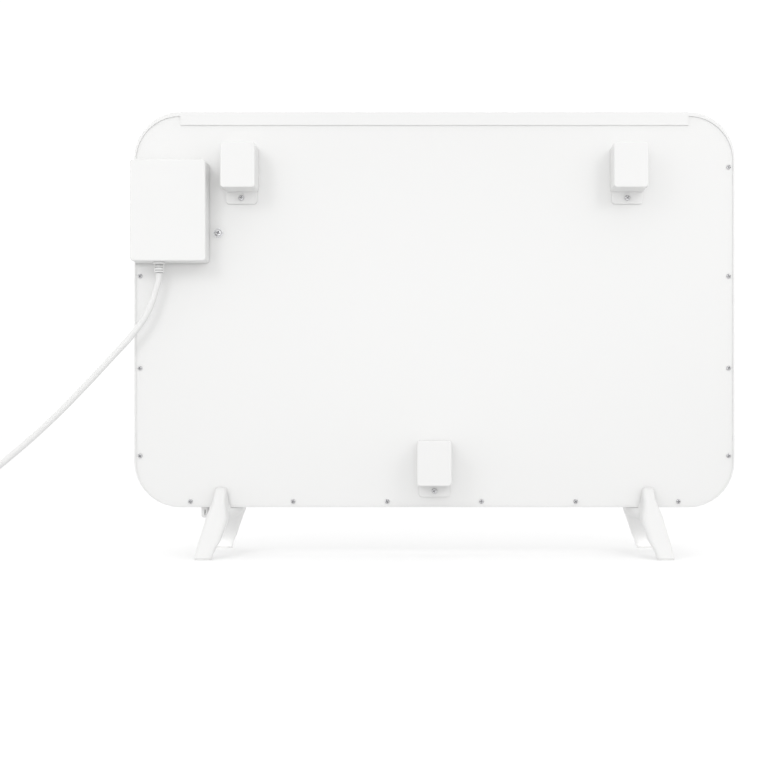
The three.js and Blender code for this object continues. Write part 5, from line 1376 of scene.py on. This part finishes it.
@dataclass
class Feet:
    """The two saddle feet, each one moulding from its rear tip over the hub to its front tip."""

    reach: float = 101.0
    tip_length: float = 16.0
    tip_width: float = 16.8
    waist_width: float = 21.7
    prong_width: float = 12.4
    prong_rise: float = 20.0
    prong_depth: float = 6.0
    lean: float = 8.8
    hub: float = 13.5
    hub_half: float = 22.0
    flare: float = 13.0
    flare_start: float = -13.0
    flare_run: float = 11.0
    sole: float = 1.5
    sole_margin: float = 0.35
    round_power: float = 2.6
    flat_power: float = 5.0
    waist_share: float = 0.537
    heights: tuple[float, ...] = (0, 0.134, 0.269, 0.403, 0.537, 0.694, 0.836, 1)
    widths: tuple[float, ...] = (0, 0.2, 0.85, 0.9, 1, 0.46, 0.02, 0)
    leans: tuple[float, ...] = (1, 0.82, 0.53, 0.33, 0.14, 0.09, 0.05, 0)
    flares: tuple[float, ...] = (0.1, 0.17, 0.22, 0.37, 0.54, 1, 0.45, 0)
    sides: int = 44
    stations: int = 20
    crown_steps: int = 6
    moulded_edge: float = 0.5
    screw_bore: float = 2.1
    head_bore: float = 3.9
    head_drop: float = 8.0

    @property
    def top(self) -> float:
        """The height of the prongs' ends."""
        return PANEL.lift + self.prong_rise

    @property
    def bottom(self) -> float:
        """The height of the tips over the floor."""
        return self.sole + PANEL.fit

    def skin(self, y: float, z: float, across: float, side: int) -> Vector:
        """Finds one place on a foot's skin.

        Args:
            y: Its place on Y.
            z: Its height.
            across: From -1 at the inner edge to 1 at the outer edge.
            side: -1 for the left foot, 1 for the right foot.

        Returns:
            The place.
        """
        share = min(max(z / self.top, 0.0), 1.0)
        base = self.tip_width if share < self.waist_share else self.prong_width
        width = base + (self.waist_width - base) * eased(self.heights, self.widths, share)
        x = PANEL.foot_x + self.lean * eased(self.heights, self.leans, share) + across * width / 2
        if across < 0:
            ahead = min(max((y - self.flare_start) / self.flare_run, 0.0), 1.0)
            x += across * self.flare * ahead * eased(self.heights, self.flares, share)
        return Vector((side * x, y, z))

    def ring(self, form: bmesh.types.BMesh, inner: tuple[float, float], outer: tuple[float, float], power: float,
             side: int, capped: bool) -> list[bmesh.types.BMVert]:
        """Adds one section of a foot.

        Args:
            form: The foot.
            inner: Y and Z of the section's lower edge.
            outer: Y and Z of its upper edge.
            power: How square its upper half is.
            side: -1 for the left foot, 1 for the right foot.
            capped: Whether the section is closed by a face.

        Returns:
            Its vertices.
        """
        made = bmesh.ops.create_circle(form, cap_ends=capped, segments=self.sides, radius=1.0)["verts"]
        low, high = Vector(inner), Vector(outer)
        for k, vert in enumerate(made):
            angle = 2 * math.pi * k / self.sides
            reach = 2 / (power if math.sin(angle) > 0 else self.round_power)
            across = math.copysign(abs(math.cos(angle)) ** reach, math.cos(angle))
            along = math.copysign(abs(math.sin(angle)) ** reach, math.sin(angle))
            place = low.lerp(high, (1 + along) / 2)
            vert.co = self.skin(place.x, place.y, across, side)
        return made

    def leg(self, way: int) -> list[tuple[tuple[float, float], tuple[float, float], float]]:
        """Returns the sections of one leg, from its tip to the hub, for the rear (-1) or the front (1)."""
        rows = []
        for k in range(self.stations + 1):
            share = k / self.stations
            outer_y = self.reach + (PANEL.front_y + self.prong_depth - self.reach) * share
            inner_tip = self.reach - self.tip_length
            inner_y = inner_tip + (self.hub_half - inner_tip) * share
            outer_z = self.bottom + (self.top - self.bottom) * share
            inner_z = self.bottom + (PANEL.lift - self.hub - PANEL.fit - self.bottom) * share
            power = self.round_power + (self.flat_power - self.round_power) * share * share
            rows.append(((way * inner_y, inner_z), (way * outer_y, outer_z), power))
        return rows

    def form(self, side: int) -> bmesh.types.BMesh:
        """Returns one foot, with its slot for the panel's edge and its screw hole."""
        crotch = PANEL.lift - self.hub
        rear, front = self.leg(-1), self.leg(1)
        crown = []
        for k in range(1, self.crown_steps):
            share = 2 * k / self.crown_steps - 1
            arch = PANEL.fit * abs(share)
            crown.append(((self.hub_half * share, crotch - arch),
                          ((PANEL.front_y + self.prong_depth) * share, self.top), self.flat_power))
        rows = [*rear, *crown, *reversed(front)]
        form = bmesh.new()
        rings = [self.ring(form, *row, side, k in (0, len(rows) - 1)) for k, row in enumerate(rows)]
        for first, second in zip(rings, rings[1:]):
            lines = {edge for loop in (first, second) for vert in loop for edge in vert.link_edges
                     if edge.other_vert(vert) in loop}
            bmesh.ops.bridge_loops(form, edges=list(lines))
        x = side * PANEL.foot_x
        half = PANEL.front_y + PANEL.fit
        tall = 2 * self.prong_rise
        slot = soft_block((4 * self.waist_width, 2 * half, tall), (x, 0, PANEL.lift - PANEL.fit + tall / 2), 0.0)
        up = Matrix.Translation((x, 0, 0)) @ Matrix.Rotation(math.pi / 2, 4, "X")
        bore = turned([(0, 0), (self.screw_bore, 0), (self.screw_bore, self.top), (0, self.top)], 24)
        deep = PANEL.lift - self.head_drop
        seat = turned([(0, 0), (self.head_bore, 0), (self.head_bore, deep), (0, deep)], 32)
        return carved(form, slot, moved(bore, up), moved(seat, up))

    def sole_form(self, side: int, way: int) -> bmesh.types.BMesh:
        """Returns the soft sole below one tip."""
        form = bmesh.new()
        margin = self.sole_margin
        rings = []
        for z in (0.0, self.bottom - 0.05):
            made = self.ring(form, (way * (self.reach - self.tip_length + margin), z),
                             (way * (self.reach - margin), z), self.round_power, side, True)
            centre = sum((vert.co for vert in made), Vector()) / len(made)
            for vert in made:
                vert.co.x = centre.x + (vert.co.x - centre.x) * (1 - 2 * margin / self.tip_width)
            rings.append(made)
        lines = {edge for loop in rings for vert in loop for edge in vert.link_edges}
        bmesh.ops.bridge_loops(form, edges=list(lines))
        return form

    def build(self, shop: Workshop) -> None:
        """Makes the feet.

        Args:
            shop: The workshop.
        """
        for side, name in ((-1, "left"), (1, "right")):
            foot = shop.piece(f"saddle_foot_{name}", self.form(side), WHITE_PLASTIC, replaces=(f"foot_{name}",),
                              smooth=50)
            shop.trim(foot, self.moulded_edge)
            for way, place in ((-1, "rear"), (1, "front")):
                shop.piece(f"foot_sole_{name}_{place}", self.sole_form(side, way), WHITE_RUBBER,
                           replaces=(f"foot_pad_{name}_{place}",), smooth=40)
            shop.dress(ZINC, f"foot_screw_{name}")


@dataclass
class ControlBox:
    """The control box with what is inside it."""

    corner: float = 3.4
    edge: float = 1.3
    well: float = 4.6
    window: tuple[float, float] = (16.0, 22.0)
    body_window: tuple[float, float] = (13.2, 19.2)
    outlet_hole: float = 5.5
    screw_hole: float = 1.75
    screw_spread: float = 27.0
    screw_y: float = -16.0
    moulded_edge: float = 0.25

    def opening(self, size: tuple[float, float], left: float, right: float,
                margin: float = 0.0) -> bmesh.types.BMesh:
        """Makes a block across the switch's place.

        Args:
            size: Its size on Y and Z.
            left: Its low end on X.
            right: Its high end on X.
            margin: How much further it goes on every side of Y and Z.

        Returns:
            The block.
        """
        return soft_block((right - left, size[0] + 2 * margin, size[1] + 2 * margin),
                          ((left + right) / 2, BOX.middle_y, BOX.switch_z), 0.0)

    def drill(self, radius: float, steps: int, place: Point) -> bmesh.types.BMesh:
        """Makes a round tool that goes up through the top or the bottom wall.

        Args:
            radius: Its radius.
            steps: The steps of its full turn.
            place: Its lower end.

        Returns:
            The tool.
        """
        tall = BOX.wall + 2
        tool = turned([(0, 0), (radius, 0), (radius, tall), (0, tall)], steps)
        return moved(tool, Matrix.Translation(place) @ Matrix.Rotation(math.pi / 2, 4, "X"))

    def cover(self) -> bmesh.types.BMesh:
        """Returns the cover with its wall, switch well and holes."""
        size = (BOX.right - BOX.left, BOX.seam - BOX.rear, BOX.high - BOX.low)
        middle = (BOX.middle_x, (BOX.seam + BOX.rear) / 2, BOX.middle_z)
        outside = soft_block(size, middle, self.corner, rear=self.edge, segments=8)
        hollow = soft_block((size[0] - 2 * BOX.wall, size[1], size[2] - 2 * BOX.wall),
                            (middle[0], middle[1] + BOX.wall, middle[2]), self.corner - BOX.wall)
        floor = BOX.left + self.well
        hollow = carved(hollow, self.opening(self.window, BOX.left, floor + BOX.wall, BOX.wall))
        holes = [self.drill(self.outlet_hole, 40, (BOX.outlet_x, BOX.middle_y, BOX.low - 1))]
        for side in (-1, 1):
            holes.append(self.drill(self.screw_hole, 20, (BOX.middle_x + side * self.screw_spread, self.screw_y,
                                                          BOX.high - BOX.wall - 1)))
        shell = carved(outside, hollow)
        return carved(shell, self.opening(self.window, BOX.left - 2, floor),
                      self.opening(self.body_window, floor - 1, floor + 2 * BOX.wall), *holes)

    def build(self, shop: Workshop) -> None:
        """Makes the box.

        Args:
            shop: The workshop.
        """
        cover = shop.piece("control_cover", self.cover(), WHITE_PLASTIC, replaces=("box_cover",),
                           smooth=36)
        shop.trim(cover, self.moulded_edge)
        shop.dress(WHITE_PLASTIC, "box_base")
        shop.dress(ZINC, "cover_screw_left", "cover_screw_right", "tip_switch_frame")
        shop.dress(MASK, "control_board")
        shop.dress(BLUE_PLASTIC, "relay")
        shop.dress(BLACK_PLASTIC, "transformer", "tip_microswitch", "switch_housing")
        shop.dress(GREEN_PLASTIC, "terminal_block")
        shop.dress(CAN, "capacitor")
        shop.dress(BRASS, "tip_pendulum")
        shop.dress(WHITE_SHEATH, "cord_tail")
        shop.piece("rocker_cap", shop.copy_of("power_rocker"), BLACK_PLASTIC, body=Body.ROCKER,
                   replaces=("power_rocker",), smooth=30)


@dataclass
class CordOutlet:
    """Ribbed strain relief below the control box, its heights read downwards from the box."""

    flange: float = 6.2
    flange_height: float = 1.7
    rings: tuple[tuple[float, float, float], ...] = ((4.8, 3.7, 4.9), (4.9, 5.8, 7.8), (4.9, 8.7, 10.2))
    rib: float = 2.4
    inside: float = 3.8
    neck: float = 5.2
    neck_height: float = 11.0
    # The seal: a grey rubber band inside the rings, whose dark grey paints the shade in the grooves between them.
    shade_seal: float = 3.74
    shade_seal_bore: float = 3.26
    shade_seal_end: float = 10.6

    def band(self, inner: float, outer: float, top: float, low: float, edge: float) -> bmesh.types.BMesh:
        """Makes a ring about the cord.

        Args:
            inner: Its inner radius.
            outer: Its outer radius.
            top: Where it starts.
            low: Where it ends.
            edge: The round of its outer edges.

        Returns:
            The ring.
        """
        corners = [(inner, top, 0), (outer, top, edge), (outer, low, edge), (inner, low, 0), (inner, top, 0)]
        return turned(rounded_profile(corners, 3), 48)

    def form(self) -> bmesh.types.BMesh:
        """Returns the flange with its neck, and the rings that two ribs hang on it."""
        low = PANEL.fit + self.flange_height
        corners = [(self.inside, -self.neck_height, 0), (self.neck, -self.neck_height, 0.5),
                   (self.neck, PANEL.fit, 0), (self.flange, PANEL.fit, 0.2), (self.flange, low, 0.6),
                   (self.inside, low, 0), (self.inside, -self.neck_height, 0)]
        forms = [turned(rounded_profile(corners, 3), 48)]
        forms += [self.band(self.inside, radius, top, bottom, 0.25) for radius, top, bottom in self.rings]
        end = self.rings[-1][2] - 0.3
        for side in (-1, 1):
            forms.append(soft_block((self.rings[0][0] - self.inside, end - low + 0.2, self.rib),
                                    (side * (self.rings[0][0] + self.inside) / 2, (end + low - 0.2) / 2, 0), 0.0))
        return joined(*forms)

    def build(self, shop: Workshop) -> None:
        """Makes the outlet and the grey rubber seal that shows between its rings, whose dark grey there is painted
        shade in the grooves.

        Args:
            shop: The workshop.
        """
        down = Matrix.Translation((BOX.outlet_x, BOX.middle_y, BOX.low)) @ Matrix.Rotation(-math.pi / 2, 4, "X")
        shop.piece("cord_outlet", moved(self.form(), down), WHITE_PLASTIC, replaces=("strain_relief",),
                   smooth=36)
        # The seal's dark grey between the rings is painted shade in the grooves.
        shade_seal = self.band(self.shade_seal_bore, self.shade_seal, PANEL.fit, self.shade_seal_end, 0.15)
        shop.piece("outlet_seal_groove_shade", moved(shade_seal, down), GROOVE_SHADE_RUBBER, smooth=36)
        shop.dress(WHITE_PLASTIC, "gland_nut")


@dataclass
class TouchStrip:
    """Touch glass in the front's corner, with three plain printed keys."""

    x: float = -236.0
    z: float = 85.0
    pitch: float = 17.0
    ink: float = 0.04
    ink_gap: float = 0.005
    line: float = 0.6
    key: float = 4.6
    stroke_share: float = 1.6

    def bar(self, x: float, z: float, width: float, height: float) -> bmesh.types.BMesh:
        """Makes one printed bar.

        Args:
            x: Its middle, from the strip's.
            z: Its middle, from the strip's.
            width: Its width.
            height: Its height.

        Returns:
            The bar.
        """
        y = PANEL.front_y + self.ink / 2 + self.ink_gap
        return soft_block((width, self.ink, height), (self.x + x, y, self.z + z), 0.12, segments=2)

    def loop(self, x: float, radius: float) -> bmesh.types.BMesh:
        """Makes one printed ring.

        Args:
            x: Its middle, from the strip's.
            radius: Its outer radius.

        Returns:
            The ring.
        """
        inner = radius - self.line
        ring = turned([(inner, 0), (radius, 0), (radius, self.ink), (inner, self.ink), (inner, 0)], 40)
        return moved(ring, Matrix.Translation((self.x + x, PANEL.front_y + self.ink_gap, self.z)))

    def build(self, shop: Workshop) -> None:
        """Makes the strip.

        Args:
            shop: The workshop.
        """
        shop.dress(MASK, "touch_board")
        shop.dress(TOUCH_GLASS, "touch_lens")
        half = 0.5 * self.key
        off = half / self.stroke_share
        forms = [self.loop(x, 0.85 * self.key) for x in (-self.pitch, 0.0, self.pitch)]
        forms += [self.bar(self.pitch, 0, self.key, self.line), self.bar(0, 0, self.line, self.key),
                  self.bar(-self.pitch, 0, self.key, self.line), self.bar(-self.pitch, off, self.line, half - 1),
                  self.bar(-self.pitch, -off, self.line, half - 1)]
        shop.piece("touch_keys", joined(*forms), PRINT_GREY, smooth=30)


@dataclass
class RoomSensor:
    """Small cap below the panel that holds the room sensor."""

    def build(self, shop: Workshop) -> None:
        """Makes the cap.

        Args:
            shop: The workshop.
        """
        shop.piece("sensor_cap", shop.copy_of("sensor_housing"), WHITE_PLASTIC, replaces=("sensor_housing",),
                   smooth=36)


def main() -> None:
    """Builds the heater around its frame."""
    logging.basicConfig(level=logging.INFO, format="%(message)s")
    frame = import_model()
    shop = Workshop(frame)
    studio = Studio()
    studio.camera()
    studio.lights()
    studio.floor()
    CORD.build(shop, [*PLUG.build(shop), CoilClip().build(shop)])
    for part in (PanelShell(), PlateScrews(), Spacer(), Feet(), ControlBox(), CordOutlet(), TouchStrip(),
                 RoomSensor()):
        part.build(shop)
    LOG.info("%d pieces", shop.count)
    bpy.context.view_layer.update()


if __name__ == "__main__":
    main()
